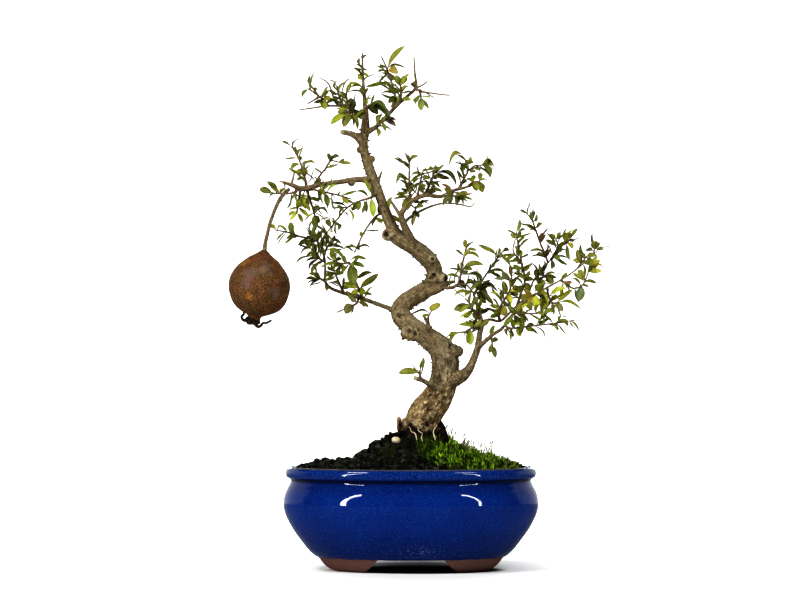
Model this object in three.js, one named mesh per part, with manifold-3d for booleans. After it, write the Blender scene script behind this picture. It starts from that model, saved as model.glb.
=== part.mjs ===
// A dwarf pomegranate bonsai in an oval glazed pot, in millimetres, +Z up.
// X runs along the pot, Y runs front to back, and Z = 0 is the table under the feet.
import * as THREE from 'three';
import { mergeVertices } from 'three/addons/utils/BufferGeometryUtils.js';
import Module from 'manifold-3d';

const manifoldLibrary = await Module();
manifoldLibrary.setup();

// Driving dimensions
const gap = 0.3; // air between pieces that touch
const ovalDepth = 0.765; // pot depth divided by pot length
const ovalPower = 0.92; // 1 is a plain ellipse, less is squarer
const footHeight = 10.6;
const potFloor = 17; // top of the pot's floor
const holeSpacing = 30; // from the pot's middle to each drainage hole
const holeRadius = 7.5;
const screenSize = 24;
const screenThickness = 1.2;
const soilRim = 79; // height of the soil at the wall
const soilLevel = 84; // height of the flat part of the soil
const moundHeight = 24.5;
const moundCentre = 5; // x of the mound, under the trunk
const fruitTop = [-116.7, -14.5, 255.8];
const fruitTilt = 0.149; // radians, the crown swings towards -X
const twigSides = 4;
const limbSides = 6;
const trunkSides = 11;
const leafThickness = 0.5; // half of it, at the midrib
const leafLength = 12; // a leaf that looks shorter than this leans towards the front or the back

const group = new THREE.Group();
const woody = []; // solids that later pieces are cut clear of: { name, solid, grown }

// ---------- helpers ----------

// A closed geometry as a manifold solid, with only its positions left.
function solidFrom(geometry) {
  const bare = geometry.clone();
  for (const name of Object.keys(bare.attributes)) {
    if (name !== 'position') bare.deleteAttribute(name);
  }
  const merged = mergeVertices(bare, 1e-4);
  const corners = merged.index.array;
  const kept = [];
  for (let i = 0; i < corners.length; i += 3) {
    const [a, b, c] = corners.slice(i, i + 3);
    if (a !== b && b !== c && c !== a) kept.push(a, b, c);
  }
  const mesh = new manifoldLibrary.Mesh({
    numProp: 3,
    vertProperties: new Float32Array(merged.attributes.position.array),
    triVerts: new Uint32Array(kept),
  });
  return new manifoldLibrary.Manifold(mesh);
}

function addNode(name, solid, colour, roughness, metalness = 0) {
  const { vertProperties, triVerts } = solid.getMesh();
  const geometry = new THREE.BufferGeometry();
  geometry.setAttribute('position', new THREE.BufferAttribute(vertProperties, 3));
  geometry.setIndex(new THREE.BufferAttribute(triVerts, 1));
  geometry.computeVertexNormals();
  const material = new THREE.MeshStandardMaterial({ color: colour, roughness, metalness });
  const mesh = new THREE.Mesh(geometry, material);
  mesh.name = name;
  group.add(mesh);
}

function unite(solids) {
  return solids.reduce((whole, solid) => whole.add(solid));
}

// Moves every vertex of a geometry by a function from old place to new place.
function mapVertices(geometry, place) {
  const position = geometry.attributes.position;
  const point = new THREE.Vector3();
  for (let i = 0; i < position.count; i += 1) {
    point.fromBufferAttribute(position, i);
    point.copy(place(point));
    position.setXYZ(i, point.x, point.y, point.z);
  }
  return geometry;
}

// A tapering round limb: a closed cylinder bent along a smooth curve through [x, y, z, radius] points.
function limb(points, { sides = limbSides, stepsPerSpan = 3, extra = 0 } = {}) {
  const curve = new THREE.CatmullRomCurve3(points.map(([x, y, z]) => new THREE.Vector3(x, y, z)));
  const spans = points.length - 1;
  const side = new THREE.Vector3();
  const back = new THREE.Vector3(0, 1, 0);
  const geometry = new THREE.CylinderGeometry(1, 1, 1, sides, spans * stepsPerSpan);
  return mapVertices(geometry, (vertex) => {
    const along = THREE.MathUtils.clamp(vertex.y + 0.5, 0, 1);
    const span = Math.min(Math.floor(along * spans), spans - 1);
    const radius = extra + THREE.MathUtils.lerp(points[span][3], points[span + 1][3], along * spans - span);
    const tangent = curve.getTangent(along);
    side.crossVectors(back, tangent).normalize();
    const front = new THREE.Vector3().crossVectors(tangent, side);
    return curve.getPoint(along).addScaledVector(front, vertex.x * radius)
      .addScaledVector(side, vertex.z * radius);
  });
}

function knob([x, y, z, radius], extra = 0) {
  return new THREE.IcosahedronGeometry(radius + extra, 1).translate(x, y, z);
}

// Several limbs and knobs grown together, and the same a little thicker for cutting neighbours.
function wood(limbs, knobs = [], options = {}) {
  const build = (extra) => unite([
    ...limbs.map((points) => solidFrom(limb(points, { ...options, extra }))),
    ...knobs.map((ball) => solidFrom(knob(ball, extra))),
  ]);
  return { solid: build(0), grown: build(gap) };
}

function woodTogether(pieces) {
  return {
    solid: unite(pieces.map((piece) => piece.solid)),
    grown: unite(pieces.map((piece) => piece.grown)),
  };
}

function clearOf(solid, others) {
  return others.reduce((left, other) => left.subtract(other.grown), solid);
}

function solidBox(solid) {
  const { min, max } = solid.boundingBox();
  return new THREE.Box3(new THREE.Vector3(...min), new THREE.Vector3(...max));
}

// Keeps a piece, cut clear of some neighbours, for later pieces to be cut clear of.
function addPiece(name, { solid, grown }, neighbours) {
  const piece = { name, solid: clearOf(solid, neighbours), grown, box: solidBox(grown) };
  woody.push(piece);
  return piece;
}

function addWood(name, pieces, colour, roughness, neighbours) {
  const piece = addPiece(name, pieces, neighbours);
  addNode(name, piece.solid, colour, roughness);
  return piece;
}

// ---------- pot ----------

const potOutside = [
  [74, 10.6], [79.5, 14.5], [88, 23.6], [94.8, 33.4], [99.5, 42], [101.9, 51.8], [99.6, 63], [95.4, 71],
  [98.6, 73.4], [99.3, 77.5], [96.4, 82.6],
];
const potInside = [[93.8, 82], [92.6, 70], [93.6, 54], [88.5, 36], [74, 21.5], [60, 17], [0, 17]];
const potSegments = 32;

function ovalPlace(radius, angle, z) {
  const x = Math.sign(Math.cos(angle)) * Math.abs(Math.cos(angle)) ** ovalPower;
  const y = Math.sign(Math.sin(angle)) * Math.abs(Math.sin(angle)) ** ovalPower;
  return new THREE.Vector3(radius * x, radius * ovalDepth * y, z);
}

// A lathe turned about Z whose circles become the pot's oval. The profile is [radius, z] points.
function ovalLathe(profile, segments = potSegments) {
  const turned = new THREE.LatheGeometry(profile.map(([r, z]) => new THREE.Vector2(r, z)), segments);
  return mapVertices(turned, (vertex) => {
    const radius = Math.hypot(vertex.x, vertex.z);
    return ovalPlace(radius, Math.atan2(-vertex.z, vertex.x), vertex.y);
  });
}

// An arch-topped block pushed along Y, which leaves a gap between two feet.
function archCut(halfTop, halfBottom, length) {
  const arch = new THREE.Shape();
  arch.moveTo(-halfBottom, -1);
  arch.lineTo(halfBottom, -1);
  arch.quadraticCurveTo(halfTop + 2, 2, halfTop, footHeight);
  arch.lineTo(-halfTop, footHeight);
  arch.quadraticCurveTo(-halfTop - 2, 2, -halfBottom, -1);
  const block = new THREE.ExtrudeGeometry(arch, { depth: length, bevelEnabled: false, curveSegments: 5 });
  return block.rotateX(Math.PI / 2).translate(0, length / 2, 0);
}

const potBody = solidFrom(ovalLathe([[0, 10.6], ...potOutside, ...potInside]));
const footRing = solidFrom(ovalLathe([
  [38, 11.5], [46, 0], [60, 0], [64, 0.8], [68.5, 3.4], [71.5, 6.6], [73, 11.5], [38, 11.5],
]));
const frontGap = solidFrom(archCut(24, 41, 200));
const sideGap = solidFrom(archCut(9, 19, 200).rotateZ(Math.PI / 2));
let pot = potBody.add(footRing.subtract(frontGap).subtract(sideGap));
for (const side of [-1, 1]) {
  const hole = new THREE.CylinderGeometry(holeRadius, holeRadius, 20, 24).rotateX(Math.PI / 2);
  pot = pot.subtract(solidFrom(hole.translate(side * holeSpacing, 0, potFloor - 6)));
}
addNode('pot', pot, 0x183a8c, 0.15);

// ---------- drainage screens ----------

const screenGrid = [-7, 0, 7];
const screenOpening = 4.4;
const screenBase = potFloor + gap;

function drainScreen(centre) {
  const middle = screenBase + screenThickness / 2;
  const plate = new THREE.BoxGeometry(screenSize, screenSize, screenThickness);
  const openings = [];
  for (const x of screenGrid) {
    for (const y of screenGrid) {
      const opening = new THREE.BoxGeometry(screenOpening, screenOpening, 3 * screenThickness);
      openings.push(solidFrom(opening.translate(centre + x, y, middle)));
    }
  }
  return solidFrom(plate.translate(centre, 0, middle)).subtract(unite(openings));
}

addNode('drain_screen_left', drainScreen(-holeSpacing), 0x1c1c1c, 0.7);
addNode('drain_screen_right', drainScreen(holeSpacing), 0x1c1c1c, 0.7);

// ---------- trunk and what stands in the soil ----------

const barkColour = 0x8d7a66;
const trunkPath = [
  [5, 1.4, 88, 13], [6, 0.7, 100, 14.5], [7.6, 0, 110, 15.2], [9.4, 0, 119.8, 13.6],
  [13.7, -1.4, 127.8, 13.2], [19.5, -2.9, 135.8, 12.4], [23.7, -4.3, 143.8, 11.5],
  [26.5, -5.8, 151.8, 11.2], [27.6, -7.2, 160, 10.8], [27.4, -8.7, 168.5, 10.5],
  [23.5, -8.7, 177.5, 10], [15.3, -5.8, 184.6, 8.6], [7.3, -1.4, 190.2, 8], [-0.7, 2.9, 195.8, 8],
  [-6.6, 7.2, 201.8, 8], [-8.2, 10.2, 207.8, 7.8], [-5.3, 11.6, 213.2, 7.4], [1.5, 11.6, 218.2, 7.1],
  [9.6, 10.2, 222.6, 7], [16.2, 8.7, 227.8, 7], [19.6, 5.8, 234, 7.2], [19.6, 2.9, 241, 7.1],
  [13.7, -1.4, 249.4, 7.3], [0.9, -5.8, 259, 6.8], [-12, -8.7, 267.4, 6.3], [-16.2, -8.7, 275.8, 4.8],
  [-20.9, -7.2, 287.8, 4], [-26.7, -4.3, 303.8, 3.9], [-31.4, -1.4, 315.8, 4.1],
  [-35.6, 1.4, 327.8, 3.9], [-37.9, 2.9, 339.8, 3.5], [-36.6, 2.9, 351.8, 3.7],
  [-36.2, 1.4, 361.8, 2.7], [-36.2, 0, 370, 1.9],
];
const trunkKnobs = [
  [34.5, -10.2, 173.5, 6], [-8, 1.4, 187.8, 5.5], [-20, -11.6, 268.5, 5.2], [26.5, 2.9, 233.5, 3.4],
  [17, -8.7, 248, 4.6], [-3, -9, 118, 5], [22, -9, 112, 5],
];
const trunkStubs = [
  [[-37.5, 2.9, 341, 3], [-42.5, 0, 346, 2.6], [-48, -2.9, 348.6, 2.2], [-54.5, -4.3, 350, 2]],
  [[-6, -3, 106, 2.6], [-8.8, -5, 114, 2.2], [-9.8, -6, 121, 1.6]],
  [[-27, -4.3, 309, 1.6], [-25, -7.2, 314, 0.9], [-23.4, -8.7, 318, 0.6]],
  [[14, -11.6, 190, 2.2], [13.5, -18.8, 197, 1.5], [11, -20.3, 201.5, 1.1]],
  [[19, -14.5, 146, 2], [10, -24.6, 151.5, 1.8], [3.5, -27.6, 153.8, 1.7]],
];
const trunk = addWood('trunk', woodTogether([
  wood([trunkPath], trunkKnobs, { sides: trunkSides, stepsPerSpan: 1 }),
  wood(trunkStubs, [], { sides: limbSides, stepsPerSpan: 1 }),
]), barkColour, 0.85, []);

const rootPaths = {
  pale_root_left: [[-2.5, -11.5, 116, 0.7], [1, -15.5, 111, 1], [4.5, -18.5, 106, 1.1], [6, -21, 98, 0.8]],
  pale_root_middle: [[5, -14, 115, 0.7], [6.5, -16.4, 111.5, 0.9], [9, -19, 106.5, 0.9], [11, -21, 98, 0.7]],
  pale_root_right: [[20, -12.5, 116, 0.7], [18.6, -15, 111, 1.1], [18.8, -17.4, 105, 1], [20, -19, 98, 0.8]],
};
const groundPieces = [trunk];
for (const [name, path] of Object.entries(rootPaths)) {
  groundPieces.push(addWood(name, wood([path], [], { stepsPerSpan: 2 }), 0xd8cdb8, 0.8, [trunk]));
}
const archedRoot = [[-23, -9, 98, 1.8], [-19, -10, 104.5, 1.7], [-14, -10, 108, 1.6], [-6, -7, 110, 1.8]];
groundPieces.push(addWood('arched_root', wood([archedRoot]), 0x3a2c22, 0.9, [trunk]));
const stumpPath = [[25.5, -12, 98, 5.5], [25.3, -12, 106, 5], [24.6, -12.5, 113, 3], [23.8, -12, 119, 0.8]];
groundPieces.push(addWood('dead_stump', wood([stumpPath]), 0x1d1612, 0.95, groundPieces.slice()));
const stoneGeometry = new THREE.IcosahedronGeometry(1, 1).scale(3.3, 2.8, 2.5);
stoneGeometry.translate(-12, -19.5, 104.4);
const stone = solidFrom(stoneGeometry);
const stoneCutter = solidFrom(stoneGeometry.clone().translate(0, 0, -gap));
groundPieces.push({ name: 'pale_stone', solid: stone, grown: stone.add(stoneCutter) });
addNode('pale_stone', stone, 0xd9cfae, 0.7);

// ---------- soil and moss ----------

function soilHeight(x, y) {
  const left = Math.exp(-(((x - moundCentre) / 40) ** 4));
  const right = Math.exp(-(((x - moundCentre) / 40) ** 2));
  const mound = moundHeight * (x < moundCentre ? left : right) * Math.exp(-((y / 34) ** 2));
  const rim = Math.min(1, Math.hypot(x, y / ovalDepth) / 92);
  return soilRim + (soilLevel - soilRim) * (1 - rim ** 6) + mound;
}

const soilRings = [92, 68, 46, 26];
const soilSide = [[0, 17.5], [59.6, 17.5], [73.4, 22], [87.8, 36.3], [93, 54.1], [92.1, 70]];
const soilTopMark = 100;
const soilShape = ovalLathe([...soilSide, ...soilRings.map((r) => [r, soilTopMark]), [0, soilTopMark]]);
mapVertices(soilShape, (vertex) => {
  const onTop = vertex.z === soilTopMark;
  return new THREE.Vector3(vertex.x, vertex.y, onTop ? soilHeight(vertex.x, vertex.y) : vertex.z);
});
let soil = clearOf(solidFrom(soilShape), groundPieces);
for (const side of [-1, 1]) {
  const room = new THREE.BoxGeometry(screenSize + 1, screenSize + 1, 2 * (screenThickness + gap));
  soil = soil.subtract(solidFrom(room.translate(side * holeSpacing, 0, screenBase)));
}
addNode('soil', soil, 0x241c16, 0.95);

const mossRoots = 3; // how far the uncut carpet reaches into the soil

// A carpet of moss: a disc with several rings whose two faces follow the soil.
function mossCarpet(centre, halfSize, thickness, lumps) {
  const profile = [[0, -1], [0.5, -1], [0.9, -1], [1, -1], [0.9, 1], [0.5, 1], [0, 1]];
  const disc = new THREE.LatheGeometry(profile.map(([r, z]) => new THREE.Vector2(r, z)), 14);
  return mapVertices(disc, (vertex) => {
    const angle = Math.atan2(vertex.z, vertex.x);
    const radius = Math.hypot(vertex.x, vertex.z) * (1 + 0.07 * Math.sin(lumps * angle));
    const x = centre[0] + halfSize[0] * radius * Math.cos(angle);
    const y = centre[1] - halfSize[1] * radius * Math.sin(angle);
    const lift = vertex.y > 0 ? thickness * (1 - 0.55 * radius ** 4) : -mossRoots;
    return new THREE.Vector3(x, y, soilHeight(x, y) + 0.9 + lift);
  });
}

const soilCutter = { grown: solidFrom(soilShape.clone().translate(0, 0, gap)) };
const underMoss = [...groundPieces, soilCutter];
const mossCushion = clearOf(solidFrom(mossCarpet([47, -4], [41, 46], 3.6, 5)), underMoss);
addNode('moss_cushion', mossCushion, 0x5f8a1c, 0.95);
const lowMoss = clearOf(solidFrom(mossCarpet([-14, -33], [20, 14], 2, 4)), underMoss);
addNode('low_moss_patch', lowMoss, 0x2c3312, 0.95);

// ---------- woody branches ----------

const branches = {
  fruit_branch: {
    limbs: [
      [
        [-31, -1.4, 312, 2.4], [-43, -5.8, 312, 2.2], [-57, -10.2, 310, 2], [-73, -14.5, 307.6, 1.9],
        [-82, -15.9, 305, 2.3], [-88, -17.4, 304.6, 2], [-95, -18.8, 307.4, 1.6],
        [-101, -18.8, 309.4, 1.1],
      ],
      [[-95, -18.8, 307.5, 0.9], [-92.8, -17.4, 317.5, 0.7]],
      [[-70, -14.5, 308, 0.7], [-76.5, -20.3, 313.5, 0.5]],
      [[-71, -13, 307.5, 0.7], [-69.6, -18.8, 303.6, 0.5]],
    ],
    knobs: [[-47.5, -7.2, 309.4, 2.9]],
    twigs: [
      [
        [-91, -18.3, 305.6, 0.9], [-92.4, -26.1, 301.6, 0.7], [-98, -29, 300.2, 0.6],
        [-105, -30.4, 300.2, 0.5], [-111.5, -31.9, 299.8, 0.3],
      ],
    ],
    leaves: [
      [-111, 299.8, -120, 304, 4.6, 0.6], [-110.5, 300, -118.4, 306.4, 2.4, 0],
      [-104.5, 300.2, -112, 308, 3.2, -0.6], [-103.6, 300.2, -100.8, 304.8, 2.2, 0],
    ],
  },
  lower_left_branch: {
    limbs: [
      [
        [-8, 11.6, 205.5, 1.9], [-16, 15.9, 208.6, 1.8], [-24.7, 17.4, 211.8, 1.7],
        [-40.7, 20.3, 217.4, 1.6], [-56.7, 24.6, 222.2, 1.4], [-66, 27.6, 226.4, 1.2], [-69, 29, 231, 1.1],
        [-69, 29, 241, 0.9], [-69.5, 26.1, 250, 0.8], [-71, 23.2, 258, 0.7], [-72, 20.3, 267, 0.5],
      ],
    ],
    knobs: [],
    twigs: [
      [[-70, 25.5, 252, 0.9], [-68, 31.9, 257.4, 0.7], [-66, 36.2, 261, 0.5]],
      [[-68.8, 29, 230.4, 0.8], [-72, 20.3, 232.6, 0.7], [-76, 14.5, 233, 0.5]],
      [[-42, 20.3, 217.8, 0.8], [-43.6, 11.6, 213, 0.7], [-49, 7.2, 210.4, 0.6], [-59, 2.9, 206, 0.4]],
    ],
    leaves: [
      [-67, 259, -61.4, 268.4, 3, 0.4], [-68, 257, -72, 277, 2.6, 0], [-66.4, 261, -55.6, 261.4, 1.6, 2.4],
      [-67, 259, -53, 257.4, 2, 2.6], [-66, 261, -69, 269.6, 3.2, 0], [-67.4, 258, -72.6, 263, 2.6, 0],
      [-72.6, 232.6, -81.6, 236.6, 2.4, 0.6], [-75, 233, -84.6, 232.4, 2.2, 0.8],
      [-72, 232.4, -74.8, 238, 1.8, 0], [-73, 232.8, -77, 236.4, 3, 0], [-71, 232, -64.6, 238, 2.4, 0],
      [-46, 211.8, -53, 205.4, 7, 1.4], [-43, 214.6, -34.5, 209.6, 2.8, 0.6],
      [-43.4, 213.6, -47.6, 216.6, 4, 0], [-44, 213, -51.6, 222.6, 4, 0.4],
    ],
  },
  middle_right_branch: {
    limbs: [
      [
        [1, -7.2, 260, 3.4], [-2.6, -13, 269, 3], [-6, -17.4, 277, 2.7], [-7.6, -20.3, 284, 2.3],
        [-3, -23.2, 291, 2], [4, -26.1, 296.5, 1.9], [11.5, -27.6, 299, 1.7], [24, -29, 298, 1.5],
        [33, -30.4, 302.4, 1.3], [44, -31.9, 305.4, 1], [53, -33.4, 309, 0.6],
      ],
      [[-8, -19.6, 282, 1.4], [-12.7, -17.4, 289.4, 1.2], [-17.2, -14.5, 296, 1]],
    ],
    knobs: [],
    twigs: [
      [[46, -32.2, 306.2, 0.9], [49, -37.7, 309, 0.7], [54, -42, 309.4, 0.5]],
      [[5, -26.4, 297, 1], [6, -30.4, 303, 0.7], [8, -33.4, 312, 0.6], [9.4, -34.8, 319, 0.3]],
    ],
    leaves: [
      [54, 309.4, 55, 316.4, 3.8, 0], [53.6, 309.4, 57, 301.4, 5.8, 0.4], [49, 308.8, 54, 303, 4.4, 0.8],
      [49, 309, 49.6, 315, 3.6, 0], [8, 311.6, 14, 311, 2.2, 1], [8.4, 314, 12, 316.6, 2, 0.6],
      [6.4, 305, 12, 305.6, 2, 0.6],
    ],
  },
  middle_right_twig: {
    limbs: [
      [
        [-6, -17.4, 277, 1.3], [1, -11.6, 283, 1.1], [9, -7.2, 287.5, 1], [18, -4.3, 291.3, 0.8],
        [27, -1.4, 293.2, 0.7], [40, 1.4, 292.2, 0.6], [48, 2.9, 290.6, 0.5], [51, 4.3, 293.6, 0.4],
      ],
    ],
    knobs: [],
    twigs: [[[3, -10.7, 284, 0.9], [3.6, -15.9, 287, 0.7], [3.4, -18.8, 290, 0.5]]],
    leaves: [
      [3.5, 289, 10.4, 290.4, 2.4, 1], [3.5, 288, 2, 280.4, 4.2, 0], [3.6, 286.6, 5.6, 280.6, 2.8, 0],
      [3.6, 287, 1, 275.4, 3, 0.4],
    ],
  },
  lower_right_branch: {
    limbs: [
      [
        [27, -8.7, 150, 5], [37.7, -13, 154, 4.9], [43.3, -17.4, 157.4, 4], [47.3, -21.8, 163, 3.2],
        [50.6, -24.6, 171, 2.8], [53, -26.1, 178, 2.6], [54.5, -21.8, 188, 2.2], [56, -17.4, 196, 2.1],
        [54.5, -13, 206, 1.4], [51.6, -8.7, 215, 1.1], [50, -5.8, 222, 0.8],
      ],
      [
        [53, -26.1, 178, 2], [58.5, -31.9, 183, 1.7], [64.9, -37.7, 188.6, 1.5], [71.3, -40.6, 192.8, 1.3],
        [76, -40.6, 198.4, 1], [83.3, -39.1, 207.8, 0.9], [95.3, -34.8, 218, 0.8],
        [107.3, -30.4, 225.4, 0.8], [119.3, -26.1, 231.8, 0.7], [131.3, -21.8, 240, 0.6],
        [143.3, -17.4, 250.4, 0.5], [151, -14.5, 257, 0.4], [161, -13, 259, 0.3],
      ],
      [
        [56, -17.4, 198.5, 1.2], [63, -11.6, 200.2, 1.1], [71.3, -4.3, 199, 1], [79, 2.9, 205.5, 1],
        [86, 8.7, 212, 0.9], [93, 13, 219, 0.8], [99, 17.4, 232, 0.7], [104, 20.3, 239, 0.6],
        [112, 23.2, 247.5, 0.6], [119, 26.1, 254, 0.5], [125, 29, 264, 0.4], [134, 31.9, 273.5, 0.3],
      ],
    ],
    knobs: [],
    twigs: [
      [[146, -16.2, 252.6, 0.6], [146, -10.2, 255, 0.5], [148, -7.2, 258, 0.3]],
      [[122.6, 28.1, 260.2, 0.6], [126, 23.2, 262, 0.5], [128, 18.8, 265, 0.3]],
      [[63, -35.7, 186.6, 0.9], [64, -40.6, 183, 0.6], [64.6, -42, 178, 0.4]],
      [[95, -34.8, 217.6, 0.8], [97, -40.6, 220, 0.6], [102, -44.9, 222, 0.5]],
    ],
    leaves: [
      [146, 255.6, 144.6, 263, 4.6, 0], [147, 256.6, 148.4, 262.6, 3.2, 0],
      [147, 256.6, 153, 256.4, 3, 0.6], [146, 254.8, 140, 256.4, 2.8, 0.5], [125, 261.6, 125, 270, 4.6, 0],
      [127, 263.6, 131.8, 264.8, 1.6, 0], [127.6, 264.4, 127.6, 270, 3, 0],
      [125, 261.6, 128.4, 248, 3.4, 0.6], [127.8, 264.8, 134, 273.4, 2.4, 0.8],
      [64.4, 180, 66.6, 169.6, 4, 0.2], [64, 182, 61.6, 174, 3.4, 0], [64, 183, 68.8, 184.6, 3.4, 0.4],
      [97, 220, 89, 218.4, 3.8, 0.8], [99, 221, 105, 217, 3.8, 1.4], [98, 220.6, 99.4, 209, 6.4, 0],
      [101, 221.8, 105, 229.4, 3.4, 0.4], [97, 220.4, 92, 214.4, 4, 0], [102, 222, 108, 221, 2.6, 0.6],
    ],
  },
  crown_right_branch: {
    limbs: [
      [
        [-36, 2.9, 350, 2], [-28.7, -1.4, 353.6, 1.7], [-23, -4.3, 359, 1.5], [-16.7, -7.2, 365.4, 1.5],
        [-8.7, -11.6, 373.4, 1.4], [-0.7, -14.5, 380, 1.2], [4, -15.9, 385.2, 1.2], [3.2, -15.9, 396, 0.8],
        [2.4, -15.9, 409, 0.6],
      ],
      [[4, -15.9, 383.6, 1], [10, -18.8, 381.6, 0.7], [20, -21.8, 379.8, 0.6], [30.6, -24.6, 378.4, 0.5]],
      [[5, -15.9, 385, 0.7], [9, -13, 387, 0.6], [13, -11.6, 390, 0.5]],
    ],
    knobs: [[2, -15.9, 387.6, 2.2]],
    twigs: [[[7, -17.4, 382.6, 0.9], [7.6, -23.2, 379, 0.7], [8, -26.1, 376, 0.4]]],
    leaves: [[8, 377, 8, 366.5, 5.4, 0], [7.8, 379, 3.4, 371.5, 2.6, 1]],
  },
  crown_left_branch: {
    limbs: [
      [
        [-36.5, 1.4, 362, 1.6], [-42, 5.8, 366, 1.4], [-48.7, 8.7, 369.2, 1.3], [-54, 11.6, 371.2, 1.2],
        [-60, 14.5, 374, 0.9], [-62.5, 15.9, 379.5, 0.8], [-64.5, 17.4, 386, 0.7], [-67, 18.8, 390.6, 0.6],
        [-73, 20.3, 394.6, 0.4],
      ],
      [
        [-54, 11.6, 371.2, 1], [-62, 10.2, 371.6, 0.8], [-72, 7.2, 370.8, 0.7], [-80, 4.3, 369.4, 0.6],
        [-89, 1.4, 368, 0.5],
      ],
    ],
    knobs: [],
    twigs: [[[-54.6, 12.2, 371.6, 0.9], [-57, 18.8, 378, 0.8], [-59, 24.6, 384, 0.5]]],
    leaves: [[-62, 380, -66, 384, 2.5, 0], [-58, 381, -60, 387, 1.6, 0], [-57, 378, -63, 377, 2.8, 0]],
  },
};

const leafy = []; // pieces that still wait for their leaves

for (const [name, { limbs, knobs, twigs, leaves }] of Object.entries(branches)) {
  const cutters = woody.filter((piece) => ['trunk', 'middle_right_branch'].includes(piece.name));
  const grown = woodTogether([
    wood(limbs, knobs, { sides: limbSides, stepsPerSpan: 1 }),
    wood(twigs, [], { sides: twigSides, stepsPerSpan: 1 }),
  ]);
  leafy.push({ piece: addPiece(name, grown, cutters), twigs, leaves, colour: barkColour, roughness: 0.85 });
}

// ---------- fruit ----------

// Height below the stalk and radius, down the fruit's axis to the neck of its crown.
const fruitProfile = [
  [0, 0], [0.2, 1.6], [5, 8.4], [10, 15], [18, 22.2], [28, 24.7], [38, 22.9], [46, 17.6], [52, 9.6],
  [56, 5.4], [59, 4.8], [59.5, 0],
];
const sepalCount = 6;

function fruitPlace(geometry) {
  return geometry.rotateY(fruitTilt).translate(...fruitTop);
}

const fruitTurned = new THREE.LatheGeometry(fruitProfile.slice().reverse()
  .map(([down, radius]) => new THREE.Vector2(radius, -down)), 16).rotateX(Math.PI / 2);
let fruit = solidFrom(fruitPlace(fruitTurned));
for (let i = 0; i < sepalCount; i += 1) {
  const turn = (2 * Math.PI * (i + 0.3)) / sepalCount;
  const sepal = [[2, 0, -57, 1.4], [6.5, 0, -59.5, 1.3], [9.5, 0, -62, 1.1], [12.4, 0, -60, 0.7]];
  const shape = limb(sepal, { sides: 4, stepsPerSpan: 1 });
  fruit = fruit.add(solidFrom(fruitPlace(shape.rotateZ(turn))));
}
const stalkPath = [
  [-96.5, -19.4, 304.4, 1.2], [-101.5, -19.7, 299.8, 1.3], [-104.8, -19.4, 295, 1.3],
  [-107.9, -18.8, 288.6, 1.2], [-110.4, -18, 282.2, 1.2], [-112.8, -16.8, 275, 1.2],
  [-114.4, -15.9, 267.8, 1.2], [-116, -15.1, 261.4, 1.3], [-116.7, -14.5, 254, 1.5],
];
const stalkWood = wood([stalkPath], [], { stepsPerSpan: 1 });
const fruitBranch = woody.find((piece) => piece.name === 'fruit_branch');
const stalk = addWood('fruit_stalk', stalkWood, 0x6f5548, 0.8, [fruitBranch]);
const fruitCut = fruit.subtract(stalk.grown);
addNode('fruit', fruitCut, 0x7a3f22, 0.6);
woody.push({ name: 'fruit', solid: fruitCut, grown: fruitCut, box: solidBox(fruitCut) });

// ---------- leafy shoots ----------

// One leaf: a thin eight-sided blade from its foot to its tip. Seen from the front it is seen as wide as
// `seen`; the rest of its width turns away from the viewer. `arch` lifts its middle.
function blade(foot, tip, seen, arch, extra = 0) {
  const along = new THREE.Vector3().subVectors(tip, foot);
  const across = new THREE.Vector3(-along.z, 0, along.x).normalize();
  if (across.z < 0) across.negate();
  const middle = foot.clone().lerp(tip, 0.55).addScaledVector(across, arch);
  const width = Math.max(seen, 0.34 * along.length());
  const roll = Math.acos(Math.min(1, seen / width));
  const edge = across.clone().multiplyScalar(Math.cos(roll)).add(new THREE.Vector3(0, Math.sin(roll), 0));
  edge.projectOnPlane(along.clone().normalize()).normalize();
  const face = new THREE.Vector3().crossVectors(along, edge).normalize();
  const octahedron = new THREE.OctahedronGeometry(1, 0);
  return mapVertices(octahedron, (vertex) => {
    if (vertex.z < -0.5) return foot.clone();
    if (vertex.z > 0.5) return tip.clone();
    return middle.clone().addScaledVector(edge, vertex.x * (width / 2 + extra))
      .addScaledVector(face, vertex.y * (leafThickness + extra));
  });
}

const leafSteps = 9; // places on one span of a twig where a leaf can stand

// The place on the twigs, a little short of their ends, that looks nearest to a leaf's foot.
function nearestOnTwigs(twigs, x, z) {
  let best = null;
  for (const twig of twigs) {
    for (let i = 1; i < twig.length; i += 1) {
      const from = new THREE.Vector3(...twig[i - 1]);
      const to = new THREE.Vector3(...twig[i]);
      for (let step = 0.5; step < leafSteps; step += 1) {
        const point = from.clone().lerp(to, step / leafSteps);
        const distance = Math.hypot(point.x - x, point.z - z);
        if (!best || distance < best.distance) best = { point, distance };
      }
    }
  }
  return best.point;
}

// How far a leaf's tip is swung towards the back until the leaf touches no other shoot.
const swings = [0, 3, -3, 6, -6, 9, -9, 13, -13];

function isClear(solid, box, name) {
  return woody.every((other) => {
    if (other.name === name || !other.box.intersectsBox(box)) return true;
    return other.solid.intersect(solid).volume() < 1e-4;
  });
}

function boxOf(geometry) {
  geometry.computeBoundingBox();
  return geometry.boundingBox;
}

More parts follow.
